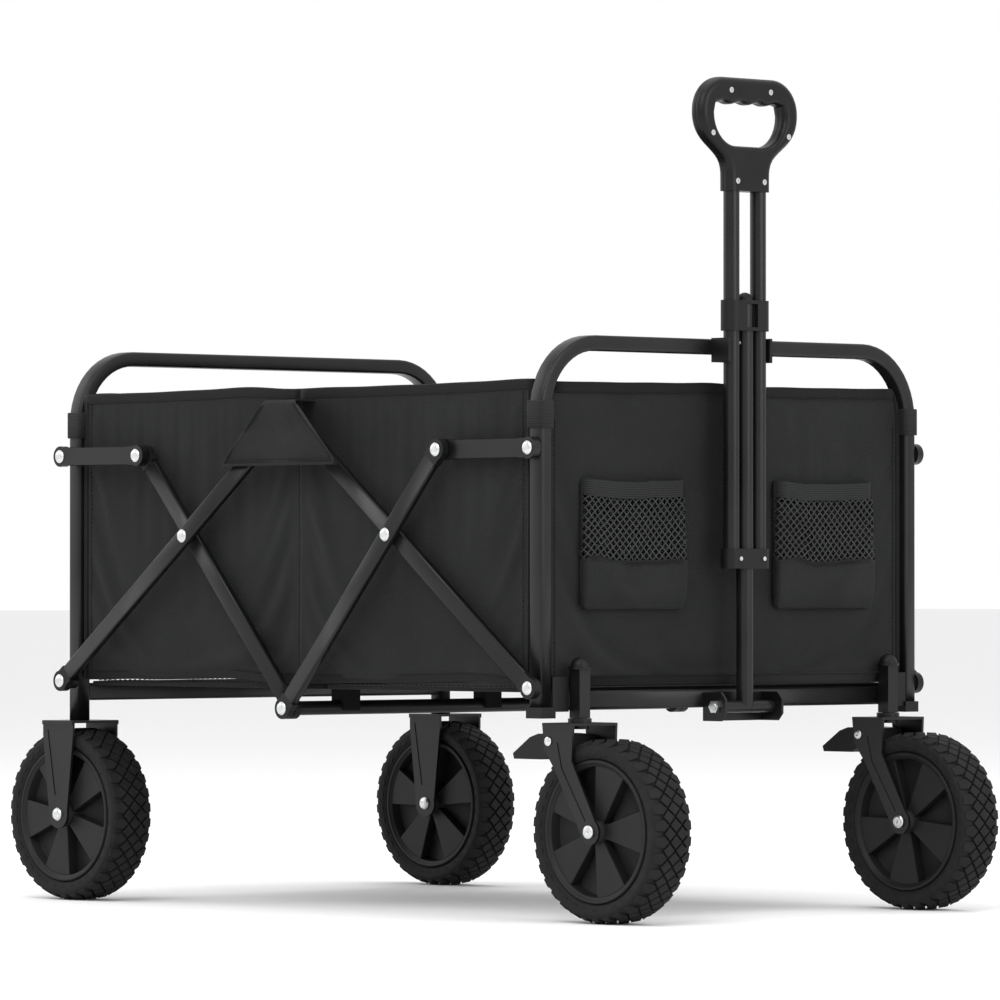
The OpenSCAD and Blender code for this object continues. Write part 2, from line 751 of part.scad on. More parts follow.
place() caster_fork_right();
place() brake_pedal_left();
place() brake_pedal_right();
place() wheel_rim_front_left();
place() wheel_rim_front_right();
place() wheel_rim_rear_left();
place() wheel_rim_rear_right();
place() tyre_front_left();
place() tyre_front_right();
place() tyre_rear_left();
place() tyre_rear_right();
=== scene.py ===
"""Looks of the folding camp wagon: sewn cloth, webbing, rounded tubes, tread and finishes around its fixed frame."""
from __future__ import annotations

import json
import logging
import math
from dataclasses import dataclass, field
from enum import Enum
from typing import Callable, Iterable, Sequence

import bmesh
import bpy
import numpy as np
from mathutils import Matrix, Vector

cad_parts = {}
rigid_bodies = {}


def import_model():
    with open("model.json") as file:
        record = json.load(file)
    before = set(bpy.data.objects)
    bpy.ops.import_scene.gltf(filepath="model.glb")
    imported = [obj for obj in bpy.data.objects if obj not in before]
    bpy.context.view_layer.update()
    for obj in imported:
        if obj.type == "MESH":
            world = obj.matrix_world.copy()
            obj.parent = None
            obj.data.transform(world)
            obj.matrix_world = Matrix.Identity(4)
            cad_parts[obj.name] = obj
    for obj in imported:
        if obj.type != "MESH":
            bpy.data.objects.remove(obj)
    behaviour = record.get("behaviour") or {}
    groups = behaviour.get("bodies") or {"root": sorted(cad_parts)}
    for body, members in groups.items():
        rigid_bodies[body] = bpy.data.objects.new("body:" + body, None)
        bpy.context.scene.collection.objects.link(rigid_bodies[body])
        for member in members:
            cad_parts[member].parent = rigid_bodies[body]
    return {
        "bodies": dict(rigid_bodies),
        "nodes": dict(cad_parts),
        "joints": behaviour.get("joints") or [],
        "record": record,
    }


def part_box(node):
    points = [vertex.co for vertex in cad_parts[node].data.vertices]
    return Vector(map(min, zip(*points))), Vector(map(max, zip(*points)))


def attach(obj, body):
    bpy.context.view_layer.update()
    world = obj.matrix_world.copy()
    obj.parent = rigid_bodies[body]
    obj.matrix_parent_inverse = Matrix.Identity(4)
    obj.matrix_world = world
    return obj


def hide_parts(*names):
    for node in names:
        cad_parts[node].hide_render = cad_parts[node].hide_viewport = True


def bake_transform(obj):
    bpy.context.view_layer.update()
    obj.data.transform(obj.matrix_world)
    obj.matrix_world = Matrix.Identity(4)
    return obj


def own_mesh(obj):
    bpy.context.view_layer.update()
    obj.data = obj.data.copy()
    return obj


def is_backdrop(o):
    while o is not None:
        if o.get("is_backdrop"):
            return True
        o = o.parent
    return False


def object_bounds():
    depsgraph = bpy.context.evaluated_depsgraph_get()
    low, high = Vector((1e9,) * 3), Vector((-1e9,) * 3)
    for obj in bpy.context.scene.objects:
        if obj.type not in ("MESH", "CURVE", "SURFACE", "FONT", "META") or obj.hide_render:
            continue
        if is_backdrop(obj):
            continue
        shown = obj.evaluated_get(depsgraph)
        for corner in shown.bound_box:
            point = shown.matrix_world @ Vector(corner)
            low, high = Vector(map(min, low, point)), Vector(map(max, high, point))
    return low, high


LOG = logging.getLogger("wagon")
Point = tuple[float, float, float]
TAU = 2 * math.pi
MM = 0.001


# ---------------------------------------------------------------- shader maths
class Wire:
    """A socket's value that takes part in Python arithmetic."""

    def __init__(self, shader: "Shader", socket: bpy.types.NodeSocket) -> None:
        """Remembers the shader and the socket that carries the value."""
        self.shader = shader
        self.socket = socket

    def _maths(self, operation: str, *values: "Wire | float") -> "Wire":
        """Adds one Math node."""
        return self.shader.add("ShaderNodeMath", {"operation": operation}, list(values))

    def __add__(self, other: "Wire | float") -> "Wire":
        """Sum."""
        return self._maths("ADD", self, other)

    def __radd__(self, other: float) -> "Wire":
        """Sum with a number on the left."""
        return self._maths("ADD", other, self)

    def __sub__(self, other: "Wire | float") -> "Wire":
        """Difference."""
        return self._maths("SUBTRACT", self, other)

    def __rsub__(self, other: float) -> "Wire":
        """Difference with a number on the left."""
        return self._maths("SUBTRACT", other, self)

    def __mul__(self, other: "Wire | float") -> "Wire":
        """Product."""
        return self._maths("MULTIPLY", self, other)

    def __rmul__(self, other: float) -> "Wire":
        """Product with a number on the left."""
        return self._maths("MULTIPLY", other, self)

    def __truediv__(self, other: "Wire | float") -> "Wire":
        """Quotient."""
        return self._maths("DIVIDE", self, other)

    def __gt__(self, other: "Wire | float") -> "Wire":
        """1 where this value is the greater one, else 0."""
        return self._maths("GREATER_THAN", self, other)

    def sine(self) -> "Wire":
        """Sine of a value in radians."""
        return self._maths("SINE", self)

    def size(self) -> "Wire":
        """Absolute value."""
        return self._maths("ABSOLUTE", self)

    def most(self, other: "Wire | float") -> "Wire":
        """The greater of two values."""
        return self._maths("MAXIMUM", self, other)

    def power(self, exponent: float) -> "Wire":
        """This value raised to a power."""
        return self._maths("POWER", self, exponent)


class Shader:
    """Builds one material's node tree around a Principled BSDF."""

    def __init__(self, name: str, **fixed: object) -> None:
        """Makes the material.

        Args:
            name: the material's name.
            **fixed: numbers and colours set on the shader's own sockets, with _ for a space.
        """
        self.material = bpy.data.materials.new(name)
        self.material.use_nodes = True
        self.nodes = self.material.node_tree.nodes
        self.links = self.material.node_tree.links
        self.surface = self.nodes["Principled BSDF"]
        for key, value in fixed.items():
            self.surface.inputs[key.replace("_", " ")].default_value = value

    def add(self, kind: str, settings: dict[str, object] | None = None,
            inputs: Sequence[object] | dict[str, object] = (), output: int | str = 0) -> Wire:
        """Adds any node.

        Args:
            kind: the node's type.
            settings: properties set before the inputs, such as an operation.
            inputs: values or wires, by place or by socket name.
            output: which output is wanted.

        Returns:
            The wanted output as a wire.
        """
        node = self.nodes.new(kind)
        for key, value in (settings or {}).items():
            setattr(node, key, value)
        pairs = inputs.items() if isinstance(inputs, dict) else enumerate(inputs)
        for key, value in pairs:
            if isinstance(value, Wire):
                self.links.new(value.socket, node.inputs[key])
            else:
                node.inputs[key].default_value = value
        return Wire(self, node.outputs[output])

    def place(self) -> Wire:
        """Object coordinates, in metres."""
        return self.add("ShaderNodeTexCoord", output="Object")

    def uv(self) -> tuple[Wire, Wire]:
        """The two UV values, which every cloth piece keeps in metres."""
        split = self.add("ShaderNodeSeparateXYZ", inputs=[self.add("ShaderNodeTexCoord", output="UV")])
        return split, Wire(self, split.socket.node.outputs[1])

    def noise(self, scale: float, detail: float = 3.0, rough: float = 0.55, at: Wire | None = None) -> Wire:
        """Fractal noise from 0 to 1 on object coordinates, or at another place."""
        return self.add("ShaderNodeTexNoise", None, {
            "Vector": at or self.place(), "Scale": scale, "Detail": detail, "Roughness": rough})

    def between(self, value: Wire, low: float, high: float, to_low: float, to_high: float) -> Wire:
        """Maps a range of a value to another range, held at its ends."""
        return self.add("ShaderNodeMapRange", {"clamp": True}, [value, low, high, to_low, to_high])

    def blend(self, share: Wire, first: Sequence[float], second: Sequence[float]) -> Wire:
        """Mixes two colours by a share."""
        node = self.nodes.new("ShaderNodeMix")
        node.data_type = "RGBA"
        self.links.new(share.socket, node.inputs[0])
        for slot, colour in ((6, first), (7, second)):
            if isinstance(colour, Wire):
                self.links.new(colour.socket, node.inputs[slot])
            else:
                node.inputs[slot].default_value = (*colour, 1.0)
        return Wire(self, node.outputs[2])

    def bump(self, height: Wire, depth: float, strength: float = 1.0, under: Wire | None = None) -> Wire:
        """A Bump node of a depth in metres, on top of another normal if there is one."""
        inputs: dict[str, object] = {"Height": height, "Distance": depth, "Strength": strength}
        if under is not None:
            inputs["Normal"] = under
        return self.add("ShaderNodeBump", None, inputs)

    def finish(self, **wires: Wire) -> bpy.types.Material:
        """Links wires to the surface's sockets, with _ for a space, and returns the material."""
        for key, wire in wires.items():
            self.links.new(wire.socket, self.surface.inputs[key.replace("_", " ")])
        return self.material


def grey(level: float, warm: float = 0.0) -> tuple[float, float, float]:
    """A near-neutral colour.

    Args:
        level: its linear brightness.
        warm: above 0 for warmer, below for cooler.

    Returns:
        Linear red, green and blue.
    """
    return (level * (1 + warm), level, level * (1 - warm))


# ---------------------------------------------------------------- finishes
@dataclass(frozen=True)
class PaintedSteel:
    """Black paint on a tube or pressing, with a fine orange peel, dust and rubbed patches."""

    name: str
    level: float = 0.0055
    rough: float = 0.34
    peel: float = 0.00006

    def build(self) -> bpy.types.Material:
        """Returns the material."""
        s = Shader(self.name, Specular_IOR_Level=0.25, Coat_Weight=0.04, Coat_Roughness=0.25)
        patches = s.noise(14, 5)
        dust = s.noise(220, 3)
        peel = s.noise(1500, 2)
        colour = s.blend(s.between(patches, 0.35, 0.7, 0, 1), grey(self.level * 0.8, -0.03),
                         grey(self.level * 1.3, -0.01))
        rough = self.rough + 0.16 * (patches - 0.5) + 0.1 * (dust - 0.5)
        return s.finish(Base_Color=colour, Roughness=rough, Normal=s.bump(peel, self.peel, 0.6))


@dataclass(frozen=True)
class MouldedPlastic:
    """Moulded black plastic with a fine spark-eroded grain."""

    name: str
    level: float = 0.005
    rough: float = 0.46
    grain: float = 0.00008
    grain_scale: float = 1300

    def build(self) -> bpy.types.Material:
        """Returns the material."""
        s = Shader(self.name, Specular_IOR_Level=0.2)
        grain = s.noise(self.grain_scale, 2, 0.7)
        flow = s.noise(26, 4)
        colour = s.blend(s.between(flow, 0.3, 0.7, 0, 1), grey(self.level * 0.85), grey(self.level * 1.2, -0.02))
        rough = self.rough + 0.14 * (flow - 0.5) + 0.12 * (grain - 0.5)
        return s.finish(Base_Color=colour, Roughness=rough, Normal=s.bump(grain, self.grain, 0.7))


@dataclass(frozen=True)
class ZincSteel:
    """Bright zinc-plated steel with faint clouding and fine scratches."""

    name: str = "zinc plated steel"

    def build(self) -> bpy.types.Material:
        """Returns the material."""
        s = Shader(self.name, Metallic=1.0)
        cloud = s.noise(160, 4)
        scratch = s.noise(2200, 2, 0.8)
        colour = s.blend(cloud, grey(0.5, 0.01), grey(0.72, -0.02))
        return s.finish(Base_Color=colour, Roughness=0.2 + 0.16 * cloud + 0.06 * scratch,
                        Normal=s.bump(scratch, 0.00002, 0.5))


class Weave(Enum):
    """How the threads of a cloth cross."""

    OXFORD = "oxford"
    WEBBING = "webbing"
    ELASTIC = "elastic"
    NET = "net"


@dataclass(frozen=True)
class Cloth:
    """Woven black cloth whose threads follow the piece's own UV map, in metres, with painted shade between the threads.
    """

    name: str
    weave: Weave
    pitch: float = 0.0019
    level: float = 0.007
    rough: float = 0.85
    depth: float = 0.00035

    def build(self) -> bpy.types.Material:
        """Returns the material."""
        s = Shader(self.name, Sheen_Weight=0.04, Sheen_Roughness=0.5, Specular_IOR_Level=0.12)
        u, v = s.uv()
        along = (u * (math.pi / self.pitch)).sine()
        across = (v * (math.pi / self.pitch)).sine()
        wires: dict[str, Wire] = {}
        if self.weave is Weave.OXFORD:
            over = (along * across) > 0
            height = over * along.size() + (1 - over) * across.size()
        elif self.weave is Weave.WEBBING:
            twill = ((u + 0.45 * v) * (math.pi / (self.pitch * 0.8))).sine()
            height = 0.75 * across.size().power(0.6) + 0.25 * twill.size()
        elif self.weave is Weave.ELASTIC:
            height = 0.85 * across.size().power(0.7) + 0.15 * along.size()
        else:
            shifted = ((u + v) * (math.pi / self.pitch)).sine()
            other = ((u - v) * (math.pi / self.pitch)).sine()
            thread = (1 - shifted.size()).most(1 - other.size())
            height = thread
            wires["Alpha"] = s.between(thread, 0.6, 0.68, 0.0, 1.0)
        wear = s.noise(9, 5)
        slub = s.noise(420, 3, 0.65)
        # Painted shade and highlight: the colour follows the thread relief, lighter on the crowns and darker in the
        # gaps between threads; the wear and slub noise add real tone.
        share = 0.3 * s.between(wear, 0.3, 0.7, 0, 1) + 0.7 * height * (0.5 + slub)
        colour = s.blend(share, grey(self.level * 0.3, -0.02), grey(self.level * 2.3, -0.03))
        rough = self.rough - 0.12 * height + 0.1 * (slub - 0.5)
        normal = s.bump(height + 0.5 * slub, self.depth, 0.8)
        return s.finish(Base_Color=colour, Roughness=rough, Normal=normal, **wires)


@dataclass(frozen=True)
class TyreRubber:
    """Matt black rubber with dust in its pores."""

    name: str = "tyre rubber"
    level: float = 0.007

    def build(self) -> bpy.types.Material:
        """Returns the material."""
        s = Shader(self.name, Specular_IOR_Level=0.2)
        dust = s.noise(60, 5, 0.65)
        pores = s.noise(1600, 3, 0.75)
        colour = s.blend(s.between(dust, 0.45, 0.75, 0, 1), grey(self.level), grey(self.level * 1.9, 0.04))
        rough = 0.62 + 0.2 * dust + 0.08 * pores
        return s.finish(Base_Color=colour, Roughness=rough, Normal=s.bump(pores, 0.00012, 0.7))


@dataclass
class Palette:
    """Every finish of the wagon, built once."""

    frame: bpy.types.Material = field(default_factory=lambda: PaintedSteel("frame paint").build())
    pole: bpy.types.Material = field(
        default_factory=lambda: PaintedSteel("handle paint", 0.0055, 0.3, 0.00003).build())
    plastic: bpy.types.Material = field(default_factory=lambda: MouldedPlastic("black plastic").build())
    grip: bpy.types.Material = field(
        default_factory=lambda: MouldedPlastic("grip plastic", 0.005, 0.36, 0.00008, 1000).build())
    rim: bpy.types.Material = field(
        default_factory=lambda: MouldedPlastic("rim plastic", 0.009, 0.5, 0.00005, 1500).build())
    zinc: bpy.types.Material = field(default_factory=lambda: ZincSteel().build())
    oxford: bpy.types.Material = field(default_factory=lambda: Cloth("oxford cloth", Weave.OXFORD).build())
    floor: bpy.types.Material = field(
        default_factory=lambda: Cloth("floor cloth", Weave.OXFORD, 0.0021, 0.0075).build())
    webbing: bpy.types.Material = field(
        default_factory=lambda: Cloth("webbing", Weave.WEBBING, 0.0026, 0.0085, 0.75, 0.0006).build())
    binding: bpy.types.Material = field(
        default_factory=lambda: Cloth("edge binding", Weave.WEBBING, 0.0016, 0.0028, 0.75, 0.0003).build())
    # Painted shade: near-black cloth for the sheet behind the pocket nets, standing in for the shade that falls there.
    painted_shade_lining: bpy.types.Material = field(
        default_factory=lambda: Cloth("pocket lining", Weave.OXFORD, 0.0019, 0.0012).build())
    elastic: bpy.types.Material = field(
        default_factory=lambda: Cloth("elastic band", Weave.ELASTIC, 0.0026, 0.0085, 0.75, 0.0006).build())
    net: bpy.types.Material = field(
        default_factory=lambda: Cloth("pocket net", Weave.NET, 0.0095, 0.014, 0.7, 0.0003).build())
    tyre: bpy.types.Material = field(default_factory=lambda: TyreRubber().build())


# ---------------------------------------------------------------- mesh helpers
def piece(name: str, points: Sequence[Sequence[float]], faces: Sequence[Sequence[int]],
          material: bpy.types.Material, uv: Sequence[Sequence[float]] | None = None,
          smooth: bool = True) -> bpy.types.Object:
    """Makes a mesh object at the origin.

    Args:
        name: the piece's name.
        points: its vertices in metres.
        faces: its faces as vertex numbers.
        material: its finish.
        uv: one UV in metres per vertex, where a pattern follows the surface.
        smooth: whether it shades smoothly.

    Returns:
        The new object.
    """
    mesh = bpy.data.meshes.new(name)
    mesh.from_pydata([tuple(map(float, p)) for p in points], [], [tuple(f) for f in faces])
    if uv is not None:
        layer = mesh.uv_layers.new(name="UVMap")
        table = np.asarray(uv, float)[[loop.vertex_index for loop in mesh.loops]]
        layer.data.foreach_set("uv", table.astype(np.float32).ravel())
    mesh.materials.append(material)
    mesh.polygons.foreach_set("use_smooth", [smooth] * len(mesh.polygons))
    mesh.update()
    obj = bpy.data.objects.new(name, mesh)
    bpy.context.scene.collection.objects.link(obj)
    return obj


def settle(obj: bpy.types.Object) -> bpy.types.Object:
    """Turns the piece's live modifiers into plain mesh."""
    bpy.context.view_layer.update()
    evaluated = obj.evaluated_get(bpy.context.evaluated_depsgraph_get())
    mesh = bpy.data.meshes.new_from_object(evaluated)
    obj.modifiers.clear()
    obj.data = mesh
    mesh.name = obj.name
    return obj


def modifier(obj: bpy.types.Object, kind: str, **settings: object) -> bpy.types.Object:
    """Adds a modifier with these settings and returns the piece."""
    added = obj.modifiers.new(kind.lower(), kind)
    for key, value in settings.items():
        setattr(added, key, value)
    return obj


def soften(obj: bpy.types.Object, width: float, segments: int = 2, angle: float = 40) -> bpy.types.Object:
    """Rounds the piece's edges and keeps flat faces flat."""
    modifier(obj, "BEVEL", width=width, segments=segments, limit_method="ANGLE",
             angle_limit=math.radians(angle), harden_normals=False)
    modifier(obj, "WEIGHTED_NORMAL", keep_sharp=True)
    return settle(obj)


def thicken(obj: bpy.types.Object, thickness: float, offset: float = 0.0) -> bpy.types.Object:
    """Gives a sheet its thickness."""
    modifier(obj, "SOLIDIFY", thickness=thickness, offset=offset, use_even_offset=False)
    return settle(obj)


def outward(obj: bpy.types.Object) -> bpy.types.Object:
    """Merges doubles and turns every face of a closed mesh outwards."""
    bm = bmesh.new()
    bm.from_mesh(obj.data)
    bmesh.ops.remove_doubles(bm, verts=bm.verts, dist=1e-6)
    bmesh.ops.recalc_face_normals(bm, faces=bm.faces)
    bm.to_mesh(obj.data)
    bm.free()
    return obj


def joined(name: str, parts: Sequence[bpy.types.Object]) -> bpy.types.Object:
    """Joins pieces into one, which keeps their materials and UV maps."""
    with bpy.context.temp_override(active_object=parts[0], selected_objects=list(parts),
                                   selected_editable_objects=list(parts)):
        bpy.ops.object.join()
    parts[0].name = name
    parts[0].data.name = name
    return parts[0]


def grid(name: str, across: int, down: int, at: Callable[[float, float], Point],
         material: bpy.types.Material, size: tuple[float, float]) -> bpy.types.Object:
    """Makes a sheet from a function of two shares.

    Args:
        name: the piece's name.
        across: cells along the first share.
        down: cells along the second share.
        at: gives the point for shares from 0 to 1.
        material: its cloth.
        size: width and length of the flat cloth in metres, used for its UV map.

    Returns:
        The sheet, one face thick.
    """
    points, uv, faces = [], [], []
    for j in range(down + 1):
        for i in range(across + 1):
            points.append(at(i / across, j / down))
            uv.append((size[0] * i / across, size[1] * j / down))
    row = across + 1
    for j in range(down):
        for i in range(across):
            a = j * row + i
            faces.append((a, a + 1, a + row + 1, a + row))
    return piece(name, points, faces, material, uv)


def rounded_section(width: float, height: float, radius: float, steps: int = 3) -> list[tuple[float, float]]:
    """Outline of a rectangle with round corners, anticlockwise."""
    outline = []
    for k, (sx, sy) in enumerate(((1, 1), (-1, 1), (-1, -1), (1, -1))):
        for i in range(steps + 1):
            a = (k + i / steps) * math.pi / 2
            outline.append((sx * (width / 2 - radius) + radius * math.cos(a),
                            sy * (height / 2 - radius) + radius * math.sin(a)))
    return outline


def ring_section(radius: float, steps: int = 12) -> list[tuple[float, float]]:
    """Outline of a circle."""
    return [(radius * math.cos(TAU * i / steps), radius * math.sin(TAU * i / steps)) for i in range(steps)]


def sweep(name: str, path: Sequence[Vector], side: Vector, section: Sequence[tuple[float, float]],
          material: bpy.types.Material, closed: bool = False) -> bpy.types.Object:
    """Carries a section along a path that lies in one plane.

    Args:
        name: the piece's name.
        path: points along the way.
        side: the plane's normal, which the section's first axis follows.
        section: outline in the side direction and the in-plane direction.
        material: its finish.
        closed: whether the path's end meets its start.

    Returns:
        A closed solid, with UVs that run along the path.
    """
    points, uv, faces = [], [], []
    count, ring = len(path), len(section)
    run = 0.0
    girth = [0.0]
    for k in range(1, ring):
        girth.append(girth[-1] + math.dist(section[k], section[k - 1]))
    for i, centre in enumerate(path):
        before = path[i - 1] if i or closed else path[0]
        after = path[(i + 1) % count] if i < count - 1 or closed else path[-1]
        tangent = (after - before).normalized()
        normal = tangent.cross(side).normalized()
        if i:
            run += (centre - path[i - 1]).length
        for k, (a, b) in enumerate(section):
            points.append(centre + side * a + normal * b)
            uv.append((run, girth[k]))
    for i in range(count if closed else count - 1):
        for k in range(ring):
            a, b = i * ring + k, i * ring + (k + 1) % ring
            c, d = (a + ring) % (count * ring), (b + ring) % (count * ring)
            faces.append((a, b, d, c))
    if not closed:
        faces.append(tuple(range(ring))[::-1])
        faces.append(tuple((count - 1) * ring + k for k in range(ring)))
    return outward(piece(name, points, faces, material, uv))


def turned(name: str, centre: Vector, profile: Sequence[tuple[float, float]], steps: int,
           material: bpy.types.Material) -> bpy.types.Object:
    """Turns a closed profile of radius and offset about an axle along Y.

    Args:
        name: the piece's name.
        centre: the axle's middle.
        profile: points as radius and offset along the axle.
        steps: faces around.
        material: its finish.

    Returns:
        The closed ring.
    """
    points, faces = [], []
    ring = len(profile)
    for i in range(steps):
        a = TAU * i / steps
        for r, y in profile:
            points.append((centre.x + r * math.cos(a), centre.y + y, centre.z + r * math.sin(a)))
    for i in range(steps):
        for k in range(ring):
            a, b = i * ring + k, i * ring + (k + 1) % ring
            c, d = (a + ring) % (steps * ring), (b + ring) % (steps * ring)
            faces.append((a, b, d, c))
    return outward(piece(name, points, faces, material))


def prism(name: str, outline: Sequence[tuple[float, float]], place: Callable[[float, float, float], Point],
          low: float, high: float, material: bpy.types.Material) -> bpy.types.Object:
    """Extrudes a flat outline between two offsets, through a function that places its points."""
    count = len(outline)
    points = [place(a, b, low) for a, b in outline] + [place(a, b, high) for a, b in outline]
    faces = [tuple(range(count))[::-1], tuple(range(count, 2 * count))]
    faces += [(i, (i + 1) % count, count + (i + 1) % count, count + i) for i in range(count)]
    return outward(piece(name, points, faces, material, smooth=False))


# ---------------------------------------------------------------- geometry nodes
class Repeat:
    """Geometry Nodes trees for what repeats along a path or about an axle."""

    def __init__(self) -> None:
        """Builds both trees."""
        self.along = self._tree("repeat along a path", {"Item": "NodeSocketObject", "Spacing": "NodeSocketFloat",
                                                        "Finish": "NodeSocketMaterial"})
        self._fill_along()
        self.around = self._tree("repeat about an axle", {"Item": "NodeSocketObject", "Count": "NodeSocketInt",
                                                          "Step": "NodeSocketFloat", "Phase": "NodeSocketFloat",
                                                          "Centre": "NodeSocketVector",
                                                          "Finish": "NodeSocketMaterial"})
        self._fill_around()

    @staticmethod
    def _tree(name: str, inputs: dict[str, str]) -> bpy.types.GeometryNodeTree:
        """Makes an empty tree with a geometry input and these named inputs."""
        tree = bpy.data.node_groups.new(name, "GeometryNodeTree")
        tree.interface.new_socket("Geometry", in_out="INPUT", socket_type="NodeSocketGeometry")
        for label, kind in inputs.items():
            tree.interface.new_socket(label, in_out="INPUT", socket_type=kind)
        tree.interface.new_socket("Geometry", in_out="OUTPUT", socket_type="NodeSocketGeometry")
        return tree

    @staticmethod
    def _wire(tree: bpy.types.GeometryNodeTree, links: Iterable[tuple]) -> None:
        """Links pairs of node and socket."""
        for source, out, target, into in links:
            tree.links.new(source.outputs[out], target.inputs[into])

    def _fill_along(self) -> None:
        """Sets items along the edges of a mesh, each turned to its direction."""
        tree = self.along
        new = tree.nodes.new
        start, end = new("NodeGroupInput"), new("NodeGroupOutput")
        curve, even = new("GeometryNodeMeshToCurve"), new("GeometryNodeResampleCurve")
        even.mode = "LENGTH"
        item, spread = new("GeometryNodeObjectInfo"), new("GeometryNodeInstanceOnPoints")
        tangent, turn = new("GeometryNodeInputTangent"), new("FunctionNodeAlignRotationToVector")
        turn.axis = "X"
        real, paint = new("GeometryNodeRealizeInstances"), new("GeometryNodeSetMaterial")
        self._wire(tree, [
            (start, "Geometry", curve, 0), (curve, 0, even, "Curve"), (start, "Spacing", even, "Length"),
            (even, 0, spread, "Points"), (start, "Item", item, "Object"), (item, "Geometry", spread, "Instance"),
            (tangent, 0, turn, "Vector"), (turn, 0, spread, "Rotation"), (spread, 0, real, 0),
            (real, 0, paint, "Geometry"), (start, "Finish", paint, "Material"), (paint, 0, end, 0)])

    def _fill_around(self) -> None:
        """Sets items about an axle along Y, a step apart."""
        tree = self.around
        new = tree.nodes.new
        start, end = new("NodeGroupInput"), new("NodeGroupOutput")
        line = new("GeometryNodeMeshLine")
        line.inputs["Offset"].default_value = (0, 0, 0)
        index, angle, shift = new("GeometryNodeInputIndex"), new("ShaderNodeMath"), new("ShaderNodeMath")
        angle.operation, shift.operation = "MULTIPLY", "ADD"
        vector, item = new("ShaderNodeCombineXYZ"), new("GeometryNodeObjectInfo")
        spread, move = new("GeometryNodeInstanceOnPoints"), new("GeometryNodeTransform")
        real, paint = new("GeometryNodeRealizeInstances"), new("GeometryNodeSetMaterial")
        self._wire(tree, [
            (start, "Count", line, "Count"), (line, 0, spread, "Points"), (start, "Item", item, "Object"),
            (item, "Geometry", spread, "Instance"), (index, 0, angle, 0), (start, "Step", angle, 1),
            (angle, 0, shift, 0), (start, "Phase", shift, 1), (shift, 0, vector, "Y"),
            (vector, 0, spread, "Rotation"), (spread, 0, move, "Geometry"), (start, "Centre", move, "Translation"),
            (move, 0, real, 0), (real, 0, paint, "Geometry"), (start, "Finish", paint, "Material"),
            (paint, 0, end, 0)])

    @staticmethod
    def apply(tree: bpy.types.GeometryNodeTree, obj: bpy.types.Object, **values: object) -> bpy.types.Object:
        """Runs a tree on a piece with named inputs and keeps the result as plain mesh."""
        added = obj.modifiers.new("repeat", "NODES")
        added.node_group = tree
        for socket in tree.interface.items_tree:
            if socket.in_out == "INPUT" and socket.name in values:
                added[socket.identifier] = values[socket.name]
        return settle(obj)

    def stitches(self, name: str, lines: Sequence[Sequence[Vector]], thread: bpy.types.Material,
                 spacing: float = 0.0052) -> bpy.types.Object:
        """Sews a row of stitches along each line.

        Args:
            name: the piece's name.
            lines: points of each row.
            thread: the thread's finish.
            spacing: from one stitch to the next.

        Returns:
            One mesh with every stitch.
        """
        section = ring_section(0.00042, 5)
        half = 0.0018
        item = sweep("stitch", [Vector((-half, 0, 0)), Vector((-half * 0.5, 0, 0.0003)),
                                Vector((half * 0.5, 0, 0.0003)), Vector((half, 0, 0))],
                     Vector((0, 1, 0)), section, thread)
        points, edges = [], []
        for line in lines:
            first = len(points)
            points += [tuple(p) for p in line]
            edges += [(first + k, first + k + 1) for k in range(len(line) - 1)]
        mesh = bpy.data.meshes.new(name)
        mesh.from_pydata(points, edges, [])
        obj = bpy.data.objects.new(name, mesh)
        bpy.context.scene.collection.objects.link(obj)
        self.apply(self.along, obj, Item=item, Spacing=spacing, Finish=thread)
        bpy.data.objects.remove(item)
        return obj

    def about_axle(self, name: str, item: bpy.types.Object, centre: Vector, count: int, phase: float,
                   finish: bpy.types.Material) -> bpy.types.Object:
        """Sets copies of an item evenly about an axle and uses the item up."""
        obj = piece(name, [(0, 0, 0)], [], finish)
        self.apply(self.around, obj, Item=item, Count=count, Step=TAU / count, Phase=phase,
                   Centre=tuple(centre), Finish=finish)
        bpy.data.objects.remove(item)
        return obj


# ---------------------------------------------------------------- the frame's own sizes
@dataclass(frozen=True)
class Box:
    """A CAD node's box at rest."""

    low: Vector
    high: Vector

    @classmethod
    def of(cls, node: str) -> "Box":
        """Reads the box of a node."""
        low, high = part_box(node)
        return cls(Vector(low), Vector(high))

    @property
    def mid(self) -> Vector:
        """The box's middle."""
        return (self.low + self.high) / 2

    @property
    def size(self) -> Vector:
        """The box's three sizes."""
        return self.high - self.low


def joint_at(name: str) -> Vector:
    """Where a joint's axis lies, from the record."""
    for joint in FRAME["record"]["behaviour"]["joints"]:
        if joint["name"] == name:
            return Vector(joint["pos_m"])
    raise KeyError(name)


FRAME: dict = {}


